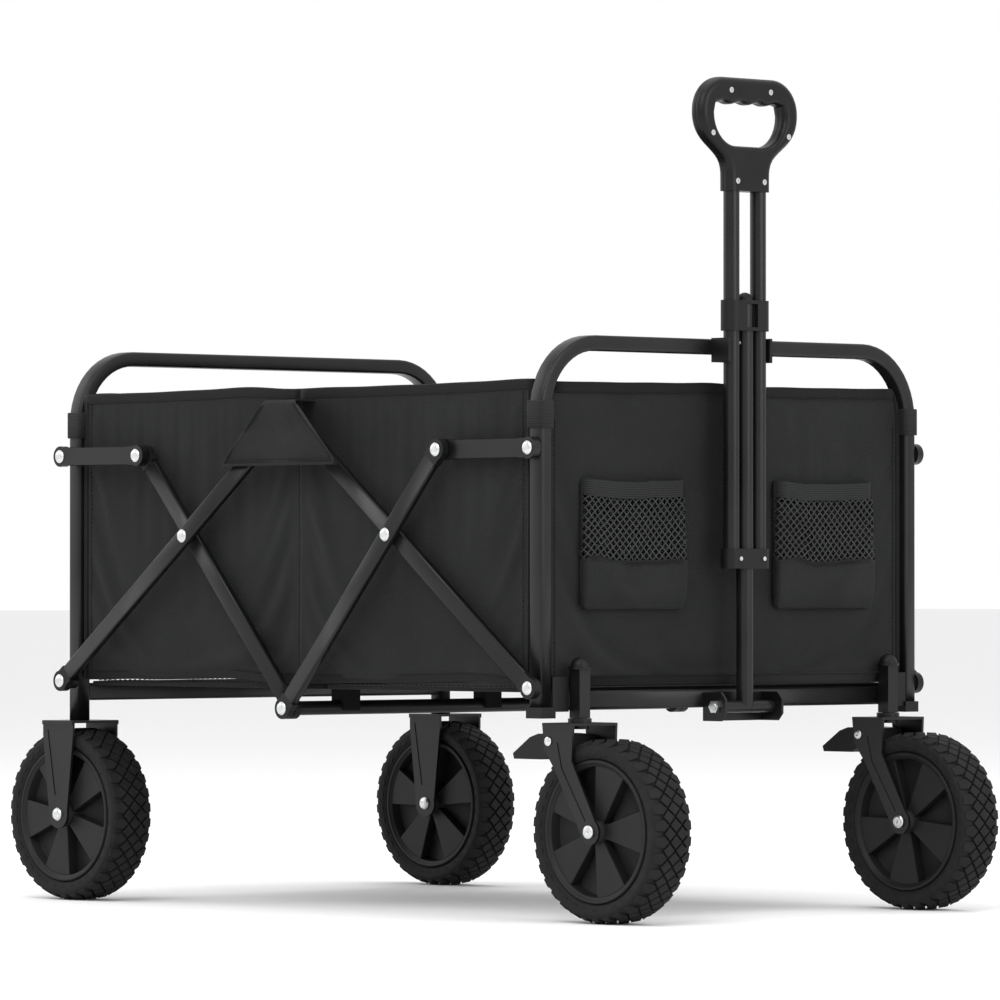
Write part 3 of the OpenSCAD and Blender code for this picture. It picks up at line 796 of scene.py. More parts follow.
# ---------------------------------------------------------------- frame tubes
@dataclass
class Tubes:
    """Frame and link tubes with rolled corners, in place of the sharp-cornered ones."""

    palette: Palette
    corner: float = 3.2 * MM

    def u_frame(self, end: str) -> bpy.types.Object:
        """Bends one end frame through its posts and top rail."""
        box = Box.of(f"{end}_u_frame")
        wide, deep = 17 * MM, box.size.x
        radius = 76 * MM
        x, half = box.mid.x, box.high.y - wide / 2
        top = box.high.z - wide / 2
        path = [Vector((x, -half, box.low.z)), Vector((x, -half, (box.low.z + top - radius) / 2))]
        for k, first in ((-1, 180), (1, 90)):
            for i in range(13):
                a = math.radians(first - 90 * i / 12)
                path.append(Vector((x, k * (half - radius) + radius * math.cos(a),
                                    top - radius + radius * math.sin(a))))
        path += [Vector((x, half, (box.low.z + top - radius) / 2)), Vector((x, half, box.low.z))]
        section = rounded_section(deep, wide, self.corner)
        obj = sweep(f"{end}_frame_tube", path, Vector((1, 0, 0)), section, self.palette.frame)
        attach(obj, f"{end}_frame")
        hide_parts(f"{end}_u_frame")
        return obj

    def rail(self, end: str) -> bpy.types.Object:
        """One lower cross rail."""
        box = Box.of(f"{end}_lower_rail")
        path = [Vector((box.mid.x, box.low.y, box.mid.z)), Vector((box.mid.x, box.high.y, box.mid.z))]
        section = rounded_section(box.size.x, box.size.z, self.corner)
        obj = sweep(f"{end}_rail_tube", path, Vector((1, 0, 0)), section, self.palette.frame)
        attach(obj, f"{end}_frame")
        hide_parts(f"{end}_lower_rail")
        return obj

    def links(self, kind: str, start: Vector, stop: Vector, body: str, node: str,
              swap: bool = True) -> bpy.types.Object:
        """The left and right tube of one link, between two pivots.

        Args:
            kind: the piece's name.
            start: first pivot, of which x and z count.
            stop: second pivot.
            body: the CAD body it rides on.
            node: the CAD node that gives its layer and that it replaces.
            swap: whether the node is replaced.

        Returns:
            Both tubes as one piece.
        """
        box = Box.of(node)
        trim = 15 * MM
        thick = 9 * MM
        outer = box.high.y
        way = (Vector((stop.x, 0, stop.z)) - Vector((start.x, 0, start.z)))
        step = way.normalized() * trim
        parts = []
        for sign in (-1, 1):
            y = Vector((0, sign * (outer - thick / 2), 0))
            first = Vector((start.x, 0, start.z)) + step + y
            last = Vector((stop.x, 0, stop.z)) - step + y
            parts.append(sweep(kind, [first, last], Vector((0, 1, 0)),
                               rounded_section(thick, 20 * MM, 2.6 * MM), self.palette.frame))
        obj = joined(kind, parts)
        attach(obj, body)
        if swap:
            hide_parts(node)
        return obj

    def build(self) -> list[bpy.types.Object]:
        """Builds every tube."""
        made = [self.u_frame("rear"), self.u_frame("front"), self.rail("rear"), self.rail("front")]
        low, top = joint_at("fold"), joint_at("apex_hinge")
        mid = top.x
        made.append(self.links("rear_long_link_tubes", low, top, "rear_long_links", "rear_long_tubes"))
        ahead = Vector((2 * mid - low.x, 0, low.z))
        made.append(self.links("front_long_link_tubes", ahead, top, "front_long_links", "front_long_tubes"))
        foot = Vector((mid, 0, low.z - 27 * MM))
        for end, sign in (("rear", 1), ("front", -1)):
            crossing = joint_at(f"{end}_crossing")
            upper = crossing + (crossing - foot).normalized() * 124 * MM
            made.append(self.links(f"{end}_cross_link_tubes", upper, foot, f"{end}_cross_links",
                                   f"{end}_cross_tubes"))
        return made


# ---------------------------------------------------------------- wheels
@dataclass
class Wheels:
    """Four wheels: block-tread tyres on moulded rims with raised spokes."""

    palette: Palette
    repeat: Repeat
    lugs: int = 34
    spokes: int = 5
    lug_height: float = 3.6 * MM

    def tyre(self, label: str, centre: Vector) -> bpy.types.Object:
        """Carcass, shoulder lugs and two rows of centre blocks."""
        r, w = 0.1, 28 * MM
        tread = r - self.lug_height
        half = [(0.07803, 22.6 * MM), (0.0795, 24.6 * MM), (0.0815, 25.6 * MM), (0.0835, 26.6 * MM),
                (0.0865, 27.7 * MM), (0.0895, w), (0.0925, 27.4 * MM), (tread - 2 * MM, 25.2 * MM),
                (tread - 0.7 * MM, 21 * MM), (tread, 14 * MM), (tread + 0.2 * MM, 5 * MM)]
        profile = half + [(a, -b) for a, b in reversed(half)]
        body = turned(f"tyre_body_{label}", centre, profile, 120, self.palette.tyre)
        step = TAU / self.lugs
        parts = [body]
        for sign in (-1, 1):
            parts += self._side_rows(label, centre, sign, step, tread)
        return joined(f"tyre_tread_{label}", parts)

    def _side_rows(self, label: str, centre: Vector, sign: int, step: float,
                   tread: float) -> list[bpy.types.Object]:
        """One side's shoulder lugs and its row of slanted centre blocks."""
        phase = 0.0
        top = 0.1
        foot = tread - 1 * MM
        shoulder = self._block([(0, 11, 0), (0.36, 17.6, 0), (0.30, 26.6, 4.2), (-0.30, 26.6, 4.2),
                                (-0.36, 17.6, 0)], step, sign, foot, top)
        flank = self._block([(-0.30, 25.6, 4.0), (0.30, 25.6, 4.0), (0.25, 27.7, 8.6), (-0.25, 27.7, 8.6)],
                            step, sign, tread - 3.4 * MM, top - 0.4 * MM)
        inner = self._block([(-0.43, 9.3, 0), (0, 1.2, 0), (0.43, 9.3, 0), (0, 17.2, 0)], step, sign, foot, top)
        rows = [(shoulder, phase), (flank, phase), (inner, phase + step / 2)]
        if sign > 0:
            crown = self._block([(-0.43, 0, 0), (0, -8, 0), (0.43, 0, 0), (0, 8, 0)], step, 1, foot, top)
            rows.append((crown, phase))
        return [self.repeat.about_axle(f"tyre_row_{label}_{sign}_{k}", item, centre, self.lugs, turn,
                                       self.palette.tyre) for k, (item, turn) in enumerate(rows)]

    def _block(self, corners: Sequence[tuple[float, float, float]], step: float, sign: int, foot: float,
               top: float) -> bpy.types.Object:
        """A tread block.

        Args:
            corners: share of the step, offset in mm and drop below the top in mm, for each corner.
            step: angle from one block to the next.
            sign: which side of the tyre.
            foot: radius at which the block starts.
            top: the tyre's radius.

        Returns:
            A bevelled block about the axle's origin.
        """
        points = []
        for level in (0, 1):
            for share, offset, drop in corners:
                a = share * step
                r = (top - drop * MM) if level else foot - drop * 1.15 * MM
                shrink = 0.93 if level else 1.0
                points.append((r * math.sin(a * shrink), sign * offset * MM, r * math.cos(a * shrink)))
        count = len(corners)
        faces = [tuple(range(count)), tuple(range(count, 2 * count))[::-1]]
        faces += [(k, (k + 1) % count, count + (k + 1) % count, count + k) for k in range(count)]
        block = outward(piece("tread_block", points, faces, self.palette.tyre, smooth=False))
        return soften(block, 0.5 * MM, 1)

    def rim(self, label: str, centre: Vector, phase: float) -> bpy.types.Object:
        """Stepped barrel, recessed web, hub and raised spokes on both faces."""
        lip = 0.0779
        half = [(0.00605, 29.6 * MM), (0.0105, 29.6 * MM), (0.0122, 28.4 * MM), (0.0128, 25.4 * MM),
                (0.0136, 24.4 * MM), (0.0140, 11.2 * MM), (0.0152, 9.8 * MM), (0.0690, 9.8 * MM),
                (0.0704, 11.2 * MM), (0.0708, 22.6 * MM), (0.0716, 23.8 * MM), (0.0738, 24.2 * MM),
                (0.0742, 25.6 * MM), (0.0752, 26.3 * MM), (0.0770, 26.3 * MM), (lip, 25.4 * MM)]
        profile = half + [(a, -b) for a, b in reversed(half)]
        barrel = turned(f"rim_barrel_{label}", centre, profile, 120, self.palette.rim)
        parts = [barrel]
        for sign in (-1, 1):
            spoke = self._spoke(sign)
            parts.append(self.repeat.about_axle(f"rim_spokes_{label}_{sign}", spoke, centre, self.spokes, phase,
                                                self.palette.rim))
        return joined(f"rim_shell_{label}", parts)

    def _spoke(self, sign: int) -> bpy.types.Object:
        """A raised pie slice with softened edges, reaching under the hub and the inner lip."""
        spread = math.radians(18.4)
        outline = [(r * math.sin(t * spread * pull), r * math.cos(t * spread * pull))
                   for r, pull, turns in ((0.0134, 1.6, (-1, 0, 1)), (0.0712, 1.0, (1, 0.66, 0.33, 0, -0.33, -0.66, -1)))
                   for t in turns]
        low, high = sorted((sign * 9 * MM, sign * 23.2 * MM))
        spoke = prism("rim_spoke", outline, lambda a, b, c: (a, c, b), low, high, self.palette.rim)
        return soften(spoke, 0.9 * MM, 2, 30)

    def build(self) -> list[bpy.types.Object]:
        """Builds tyres and rims for the four wheels."""
        made = []
        for number, end in enumerate(("front", "rear")):
            for side in ("left", "right"):
                label = f"{end}_{side}"
                centre = joint_at(f"wheel_spin_{end}_{side}")
                phase = math.radians(17 + 31 * number + (22 if side == "left" else 0))
                for obj, node, slot in ((self.tyre(label, centre), f"tyre_{label}", "tyre_rubber"),
                                        (self.rim(label, centre, phase), f"wheel_rim_{label}", "rim_plastic")):
                    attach(obj, f"wheel_{label}")
                    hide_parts(node)
                    made.append(obj)
        return made + [self.bolts(side) for side in ("left", "right")]

    def bolts(self, side: str) -> bpy.types.Object:
        """Bright bolt and rivet heads on a caster fork's outer faces."""
        centre = joint_at(f"wheel_spin_front_{side}")
        fork = Box.of(f"caster_fork_{side}")
        face = fork.high.y - centre.y - 4 * MM
        round_over = [(math.sqrt(math.cos(a)), math.sqrt(math.sin(a)))
                      for a in (math.radians(10 * k) for k in range(9))]
        parts = []
        for sign in (-1, 1):
            dome = [(0.0001, sign * face)] + [(7.7 * MM * c, sign * (face + 0.1 * MM + 4.1 * MM * d))
                                              for c, d in round_over]
            parts.append(turned(f"axle_head_{side}", centre, dome + [(0.0001, sign * (face + 4.2 * MM))], 28,
                                self.palette.zinc))
        pivot = joint_at(f"brake_press_{side}")
        for sign in (-1, 1):
            cap = [(5.3 * MM * c, sign * (face + 0.05 * MM + 2.2 * MM * d)) for c, d in round_over]
            parts.append(turned(f"brake_rivet_{side}", pivot, [(0.0001, sign * face)] + cap
                                + [(0.0001, sign * (face + 2.3 * MM))], 20, self.palette.zinc))
        obj = joined(f"axle_heads_{side}", parts)
        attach(obj, f"caster_{side}")
        return obj


# ---------------------------------------------------------------- cloth
def simulate(obj: bpy.types.Object, pinned: Callable[[Vector], float], limit: Vector, axis: int,
             shrink: float, steps: int = 22) -> bpy.types.Object:
    """Lets a sheet sag by cloth simulation and caps how far it moves.

    Args:
        obj: the sheet, one face thick.
        pinned: gives the pin weight from 0 to 1 for a point at rest.
        limit: lowest and highest move along the axis, as its x and y.
        axis: which axis the sheet may bulge along.
        shrink: below 0, how much longer than its place the cloth is cut.
        steps: frames to run.

    Returns:
        The sheet with its folds in its mesh.
    """
    rest = np.array([v.co for v in obj.data.vertices], float)
    group = obj.vertex_groups.new(name="pin")
    for k, point in enumerate(rest):
        weight = pinned(Vector(point))
        if weight > 0:
            group.add([k], weight, "REPLACE")
    cloth = obj.modifiers.new("cloth", "CLOTH")
    settings = cloth.settings
    settings.quality = 6
    settings.mass = 0.25
    settings.tension_stiffness = 20
    settings.compression_stiffness = 12
    settings.shear_stiffness = 6
    settings.bending_stiffness = 1.4
    settings.shrink_min = shrink
    settings.vertex_group_mass = "pin"
    cloth.collision_settings.use_collision = False
    cloth.point_cache.frame_start, cloth.point_cache.frame_end = 1, steps
    for number in range(1, steps + 1):
        bpy.context.scene.frame_set(number)
    evaluated = obj.evaluated_get(bpy.context.evaluated_depsgraph_get())
    moved = np.array([v.co for v in evaluated.data.vertices], float)
    obj.modifiers.clear()
    bpy.context.scene.frame_set(1)
    shift = np.clip(moved - rest, -0.004, 0.004)
    shift[:, axis] = np.clip((moved - rest)[:, axis], limit.x, limit.y)
    for vertex, point in zip(obj.data.vertices, rest + shift):
        vertex.co = point
    obj.vertex_groups.clear()
    return obj


def ripple(a: float, b: float, seed: float) -> float:
    """Slow smooth unevenness from -1 to 1 for cloth, the same on each run."""
    total = 0.0
    for k in range(1, 5):
        total += math.sin(a * 2.1 * k + seed * 1.7 * k + 2.2 * math.sin(b * 1.3 * k + seed)) / k
    return total / 2.1


@dataclass
class SidePanels:
    """Sewn cloth between the end frames: two halves a side, with rim binding, piping and stitches."""

    palette: Palette
    repeat: Repeat
    thickness: float = 1.3 * MM
    keep: float = 0.295

    def panel(self, end: str, side: int) -> list[bpy.types.Object]:
        """Builds one half panel and what is sewn to it.

        Args:
            end: rear or front.
            side: -1 for the right side, 1 for the left.

        Returns:
            The cloth and its trim.
        """
        box = Box.of(f"side_panels_{end}")
        low, high = box.low, box.high
        near = low.x if end == "rear" else high.x
        far = high.x if end == "rear" else low.x
        y = side * (box.high.y - 1.5 * MM)
        tall = high.z - low.z
        name = f"{end}_{'left' if side > 0 else 'right'}"

        def at(u: float, v: float) -> Point:
            """Point of the panel, bowed slightly between its edges."""
            x = near + (far - near) * u
            z = low.z + tall * v + self.wave(x, side, True) * v ** 5 + self.wave(x, side, False) * (1 - v) ** 5
            bow = 0.0022 * ripple(x * 9, z * 8, 3.0 * side) * min(1, 6 * v * (1 - v)) * min(1, 9 * u)
            return (x, y + side * (0.0012 + bow), z)

        cloth = grid(f"side_cloth_{name}", 64, 52, at, self.palette.oxford, (abs(far - near), tall))
        if (far - near) * side > 0:
            cloth.data.flip_normals()
        edge = 14 * MM

        def pinned(point: Vector) -> float:
            """Holds the rim, the lower edge, the post and the middle seam."""
            close = min(abs(point.x - near), abs(point.x - far), point.z - low.z, high.z - point.z)
            return 1.0 if close < edge else 0.0

        reach = Vector((-1.2 * MM, 5.5 * MM)) if side > 0 else Vector((-5.5 * MM, 1.2 * MM))
        simulate(cloth, pinned, reach, 1, -0.006)
        modifier(cloth, "SUBSURF", levels=1, render_levels=1)
        thicken(settle(cloth), self.thickness)
        trim = self.trim(name, end, side, near, far, y, low.z, high.z)
        for obj, slot in ((cloth, "oxford_fabric"), (trim, "oxford_fabric")):
            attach(obj, f"{end}_frame")
            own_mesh(obj)
        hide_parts(f"side_panels_{end}")
        return [cloth, trim]

    @staticmethod
    def wave(x: float, side: int, top: bool) -> float:
        """How far the rim or the lower edge wanders up or down at a place along the wagon."""
        if top:
            return 0.0026 * ripple(x * 6.5, 0.3, 2.0 + side) - 0.0016
        return 0.0030 * ripple(x * 7.5, 0.8, 5.0 + side) + 0.0024

    def trim(self, name: str, end: str, side: int, near: float, far: float, y: float, low: float,
             high: float) -> bpy.types.Object:
        """Rim binding, corner piping, lower band and their stitches, as one piece."""
        across = Vector((0, 1, 0))
        tuck = 6 * MM if far > near else -6 * MM

        def edge(height: float, top: bool, out: float = 0.0) -> list[Vector]:
            """A line along the panel that wanders with its edge."""
            spots = [near + (far - near) * k / 40 for k in range(41)]
            return [Vector((x, y + out, height + self.wave(x, side, top))) for x in spots]

        binding = sweep(f"rim_binding_{name}", edge(high - 5.5 * MM, True), across,
                        rounded_section(4.6 * MM, 13 * MM, 2.0 * MM), self.palette.binding)
        piping = sweep(f"corner_piping_{name}", [Vector((near + tuck, y + side * 1.4 * MM, low + 4 * MM)),
                                                 Vector((near + tuck, y + side * 1.4 * MM, high - 11 * MM))],
                       across, ring_section(2.1 * MM, 10), self.palette.binding)
        band = sweep(f"lower_band_{name}", edge(low + 5 * MM, False), across,
                     rounded_section(4.2 * MM, 11 * MM, 1.8 * MM), self.palette.binding)
        out = side * 2.6 * MM
        rows = [edge(high - 10.4 * MM, True, out * 0.9), edge(low + 9 * MM, False, out * 0.9)]
        rows.append([Vector((near + 2.4 * tuck, y + out, low + 14 * MM)),
                     Vector((near + 2.4 * tuck, y + out, high - 14 * MM))])
        seams = self.repeat.stitches(f"stitches_{name}", rows, self.palette.binding)
        return joined(f"side_trim_{name}", [binding, piping, band, seams])

    def build(self) -> list[bpy.types.Object]:
        """Builds the four half panels."""
        return [obj for end in ("rear", "front") for side in (-1, 1) for obj in self.panel(end, side)]


@dataclass
class EndWalls:
    """Cloth end walls inside the frames, with binding along their curved rim and webbing round the posts."""

    palette: Palette
    repeat: Repeat
    thickness: float = 1.3 * MM
    bend: float = 76 * MM

    def outline_half(self, box: Box, z: float) -> float:
        """Half width of the wall at a height, which follows the frame's bend."""
        reach = box.high.y
        start = Box.of("rear_u_frame").high.z - 8.5 * MM - self.bend
        radius = reach - (0.287 - self.bend)
        if z <= start:
            return reach
        rise = min(z - start, radius * 0.98)
        return reach - radius + math.sqrt(radius * radius - rise * rise)

    def wall(self, end: str) -> list[bpy.types.Object]:
        """Builds one wall and its trim."""
        box = Box.of(f"{end}_wall")
        x, tall = box.mid.x, box.size.z
        bulge = 1 if end == "front" else -1
        shy = 0.4 * MM

        def at(u: float, v: float) -> Point:
            """Point of the wall, sagging a little between the posts."""
            z = box.low.z + tall * v
            half = self.outline_half(box, z) - shy
            y = -half + 2 * half * u
            z += self.wave(y, bulge) * v ** 6
            soft = min(1, 8 * u * (1 - u)) * min(1, 7 * v * (1 - v) + 0.1)
            return (x - bulge * 0.0016 * soft * (1 + ripple(y * 8, z * 9, 5.0 + bulge)), y, z)

        cloth = grid(f"{end}_wall_cloth", 80, 52, at, self.palette.oxford, (box.size.y, tall))
        if end == "rear":
            cloth.data.flip_normals()
        edge = 12 * MM

        def pinned(point: Vector) -> float:
            """Holds the whole outline."""
            close = min(point.z - box.low.z, box.high.z - point.z, self.outline_half(box, point.z) - abs(point.y))
            return 1.0 if close < edge else 0.0

        reach = Vector((-6 * MM, 0.2 * MM)) if end == "front" else Vector((-0.2 * MM, 6 * MM))
        simulate(cloth, pinned, reach, 0, -0.005)
        modifier(cloth, "SUBSURF", levels=1, render_levels=1)
        thicken(settle(cloth), self.thickness)
        trim = self.trim(end, box, x)
        for obj in (cloth, trim):
            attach(obj, f"{end}_frame")
        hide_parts(f"{end}_wall")
        box.size.y
        straps = self.straps(end)
        return [cloth, trim, straps]

    @staticmethod
    def wave(y: float, out: int) -> float:
        """How far the rim wanders up or down across the wall."""
        return 0.0024 * ripple(y * 8, 0.4, 7.0 + out) - 0.0018

    def trim(self, end: str, box: Box, x: float) -> bpy.types.Object:
        """Rim binding over the curved corners, side piping, lower band and stitches."""
        out = 1 if end == "front" else -1
        ahead = Vector((1, 0, 0))
        top = box.high.z - 5 * MM
        inset = 3.5 * MM
        heights = [box.low.z + 6 * MM + (top - box.low.z - 6 * MM) * k / 24 for k in range(25)]
        right = [Vector((x, -self.outline_half(box, z) + inset, z)) for z in heights]
        left = [Vector((x, -p.y, p.z)) for p in reversed(right)]
        binding = sweep(f"{end}_rim_binding", right + left, ahead, rounded_section(4.4 * MM, 6.5 * MM, 1.8 * MM),
                        self.palette.binding)
        half = self.outline_half(box, top) - 6 * MM

        def level(height: float, face: float) -> list[Vector]:
            """A line across the wall that wanders with its rim."""
            spots = [half * (2 * k / 40 - 1) for k in range(41)]
            return [Vector((face, y, height + self.wave(y, out))) for y in spots]

        hem = sweep(f"{end}_rim_hem", level(top, x), ahead, rounded_section(4.8 * MM, 13 * MM, 2 * MM),
                    self.palette.binding)
        band_z = box.low.z + 6 * MM
        reach = box.high.y - 1 * MM
        band = sweep(f"{end}_lower_band", [Vector((x, -reach, band_z)), Vector((x, reach, band_z))], ahead,
                     rounded_section(4.4 * MM, 12 * MM, 1.8 * MM), self.palette.binding)
        face = x + out * 2.55 * MM
        rows = [level(top - 5.2 * MM, face),
                [Vector((face, -half, band_z + 4.6 * MM)), Vector((face, half, band_z + 4.6 * MM))]]
        for sign in (-1, 1):
            rows.append([Vector((x + out * 1.4 * MM, sign * (-p.y - 8 * MM), p.z)) for p in right[:-3]])
        seams = self.repeat.stitches(f"{end}_wall_stitches", rows, self.palette.binding)
        return joined(f"{end}_wall_trim", [binding, hem, band, seams])

    def straps(self, end: str) -> bpy.types.Object:
        """Ribbed webbing loops sewn round each post, one to a post."""
        post = Box.of(f"{end}_u_frame")
        x, y = post.mid.x, post.high.y - 8.5 * MM
        deep, wide = post.size.x + 3.4 * MM, 17 * MM + 3.4 * MM
        parts = []
        for sign in (-1, 1):
            for z, tall in ((0.5525, 30 * MM),):
                ring = [Vector((x + a, sign * y + b, z)) for a, b in rounded_section(deep, wide, 4.2 * MM, 4)]
                parts.append(sweep(f"{end}_strap", ring, Vector((0, 0, 1)),
                                   rounded_section(tall, 1.5 * MM, 0.7 * MM, 1), self.palette.webbing, closed=True))
        obj = joined(f"{end}_post_straps", parts)
        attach(obj, f"{end}_frame")
        return obj

    def build(self) -> list[bpy.types.Object]:
        """Builds both walls."""
        return self.wall("rear") + self.wall("front")


@dataclass
class Pockets:
    """The two hanging pockets on the front wall: solid bag, net above it, ribbed elastic top, and a near-black sheet
    behind the net that paints its shade.
    """

    palette: Palette
    repeat: Repeat
    columns: int = 36
    rows: int = 26

    def outline(self, depth: float, half: float, corner: float) -> list[tuple[float, float]]:
        """The pocket's plan from one side, round the front, to the other."""
        plan = [(0.0, -half), (depth - corner, -half)]
        plan += [(depth - corner + corner * math.sin(a), -half + corner - corner * math.cos(a))
                 for a in (math.radians(15 * k) for k in range(1, 6))]
        flat = self.columns - 14
        plan += [(depth, -half + corner + (2 * half - 2 * corner) * k / flat) for k in range(flat + 1)]
        plan += [(x, -y) for x, y in reversed(plan[:7])]
        return plan

    def shell(self, name: str, side: int, x: float, mid: float, levels: Sequence[tuple[float, ...]],
              half: float, material: bpy.types.Material, seed: float) -> bpy.types.Object:
        """One band of a pocket's outside, as a sheet.

        Args:
            name: the piece's name.
            side: which pocket, -1 or 1.
            x: the wall's face.
            mid: the pocket's middle in Y.
            levels: height, depth, share of the half width, and how far each row follows the seam's and
                the top's wander.
            half: the pocket's half width.
            material: its cloth.
            seed: starts its unevenness.

        Returns:
            The sheet, one face thick.
        """
        points, uv, faces = [], [], []
        for height, depth, share, seam, rim in levels:
            run = 0.0
            plan = self.outline(depth, half * share, min(11 * MM, depth * 0.6))
            for k, (a, b) in enumerate(plan):
                if k:
                    run += math.dist(plan[k], plan[k - 1])
                free = min(1.0, a / max(depth, 1e-6))
                soft = 0.0016 * ripple(b * 22, height * 26, seed + side) * free
                wander = seam * self.seam_wave(b, side) + rim * self.top_wave(b, half, side)
                points.append((x + max(a + soft, 0) if a else x, mid + b, height + wander))
                uv.append((run, height))
        row = len(plan)
        for j in range(len(levels) - 1):
            for i in range(row - 1):
                a = j * row + i
                faces.append((a, a + 1, a + row + 1, a + row))
        return piece(name, points, faces, material, uv)

    @staticmethod
    def seam_wave(b: float, side: int) -> float:
        """How far the seam between bag and net wanders up or down."""
        return 0.0042 * ripple(b * 19, 0.5, 3.0 + side) + 0.001

    @staticmethod
    def top_wave(b: float, half: float, side: int) -> float:
        """How far the slack top sags."""
        return -0.0035 * math.cos(min(1.0, abs(b) / half) * math.pi / 2) * (1 + 0.3 * ripple(b * 25, 0.2, side))

    def pocket(self, side: int) -> list[bpy.types.Object]:
        """Builds one pocket and its trim."""
        box = Box.of("front_pockets")
        x = box.low.x + 0.4 * MM
        half = 79.2 * MM
        inner = box.high.y - 2 * 80 * MM
        mid = side * (inner + 80 * MM)
        depth = box.size.x - 1.6 * MM
        low, high = box.low.z + 1 * MM, box.high.z
        net_low, net_high = low + 52 * MM, high - 19 * MM
        name = "left" if side > 0 else "right"
        bag, net = [], []
        for k in range(self.rows + 1):
            t = k / self.rows
            swell = math.sin(min(1, t * 2.4 + 0.06) * math.pi / 2)
            bag.append((low + (net_low - low) * t, depth * (0.30 + 0.66 * swell), 0.93 + 0.07 * swell, t, 0))
            z = net_low + (net_high - net_low) * t
            net.append((z, depth * (0.96 - 0.1 * t), 1.0 - 0.035 * t, 1 - t, t))
        solid = self.shell(f"pocket_bag_{name}", side, x, mid, bag, half, self.palette.oxford, 2.0)
        mesh = self.shell(f"pocket_net_{name}", side, x, mid, net, half, self.palette.net, 2.0)
        bottom = self.bottom(name, x, mid, bag[0], half)
        solid = thicken(joined(f"pocket_bag_{name}", [solid, bottom]), 1.0 * MM)
        thicken(mesh, 0.7 * MM)
        band = self.band(name, x, mid, net[-1], half, net_high, high)
        seam = self.seams(name, x, mid, half, depth, low, net_low)
        cloth = joined(f"pocket_{name}", [solid, mesh])
        # Painted shade: a near-black sheet just off the wall behind the net, standing in for the shade that the net and
        # bag cast there.
        painted_shade_lining = grid(f"pocket_lining_{name}", 1, 1, lambda u, v: (x + 0.3 * MM, mid + (1.9 * u - 0.95) * half,
                                                                   net_low + (net_high - net_low) * v),
                      self.palette.painted_shade_lining, (2 * half, net_high - net_low))
        trim = joined(f"pocket_trim_{name}", [band, seam, painted_shade_lining])
        for obj in (cloth, trim):
            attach(obj, "front_frame")
        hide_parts("front_pockets")
        width = 2 * half + 2 * depth
        tall = net_high - low + depth
        min(0.98, 0.93) * width * tall
        return [cloth, trim]

    def bottom(self, name: str, x: float, mid: float, level: tuple[float, ...],
               half: float) -> bpy.types.Object:
        """The bag's closed underside."""
        height, depth, share = level[:3]
        plan = self.outline(depth, half * share, min(11 * MM, depth * 0.6))
        points = [(x + a, mid + b, height) for a, b in plan]
        centre = [(x, mid + b, height - 0.4 * MM) for a, b in plan]
        count = len(plan)
        faces = [(k, k + 1, count + k + 1, count + k) for k in range(1, count - 2)]
        return piece(f"pocket_bottom_{name}", points + centre, faces, self.palette.oxford,
                     [(p[1], p[0]) for p in points + centre])

    def band(self, name: str, x: float, mid: float, level: tuple[float, ...], half: float,
             low: float, high: float) -> bpy.types.Object:
        """The gathered elastic band along the pocket's top, with close ribs that run along its length."""
        _, depth, share = level[:3]
        points, uv, faces = [], [], []
        plan = self.outline(depth, half * share, 10 * MM)
        fine = []
        for k in range(len(plan) - 1):
            for i in range(4):
                fine.append(tuple(a + (b - a) * i / 4 for a, b in zip(plan[k], plan[k + 1])))
        fine.append(plan[-1])
        levels = 15
        for j in range(levels):
            v = j / (levels - 1)
            run = 0.0
            for k, (a, b) in enumerate(fine):
                if k:
                    run += math.dist(fine[k], fine[k - 1])
                rib = 0.0005 if j % 2 else 0.0
                swell = 0.0007 * math.sin(math.pi * v) * min(1, a / depth)
                sag = self.top_wave(b, half, 1 if name == "left" else -1)
                points.append((x + (a + swell + rib if a else 0), mid + b, low + (high - 0.0005 - low) * v + sag))
                uv.append((run, v * (high - low)))
        row = len(fine)
        for j in range(levels - 1):
            for k in range(row - 1):
                a = j * row + k
                faces.append((a, a + 1, a + row + 1, a + row))
        return thicken(piece(f"pocket_band_{name}", points, faces, self.palette.elastic, uv), 1.4 * MM, -0.4)

    def seams(self, name: str, x: float, mid: float, half: float, depth: float, low: float,
              join: float) -> bpy.types.Object:
        """Piping where net meets bag, side bindings and stitches."""
        plan = self.outline(depth * 0.965, half * 0.994, 11 * MM)
        side = 1 if name == "left" else -1
        line = [Vector((x + a + 0.2 * MM, mid + b, join + self.seam_wave(b, side))) for a, b in plan if a > 0]
        pipe = sweep(f"pocket_piping_{name}", line, Vector((0, 0, 1)), ring_section(1.5 * MM, 8),
                     self.palette.binding)
        parts = [pipe]
        for s in (-1, 1):
            edge = [Vector((x + 0.8 * MM, mid + s * (half - 1.2 * MM), z)) for z in (low + 3 * MM, join + 85 * MM)]
            parts.append(sweep(f"pocket_edge_{name}", edge, Vector((1, 0, 0)),
                               rounded_section(2.4 * MM, 2.6 * MM, 0.9 * MM), self.palette.binding))
        rows = [[p + Vector((0.9 * MM, 0, -3.4 * MM)) for p in line[2:-2]]]
        parts.append(self.repeat.stitches(f"pocket_stitches_{name}", rows, self.palette.binding, 0.0046))
        return joined(f"pocket_seams_{name}", parts)

    def build(self) -> list[bpy.types.Object]:
        """Builds both pockets."""
        return self.pocket(-1) + self.pocket(1)


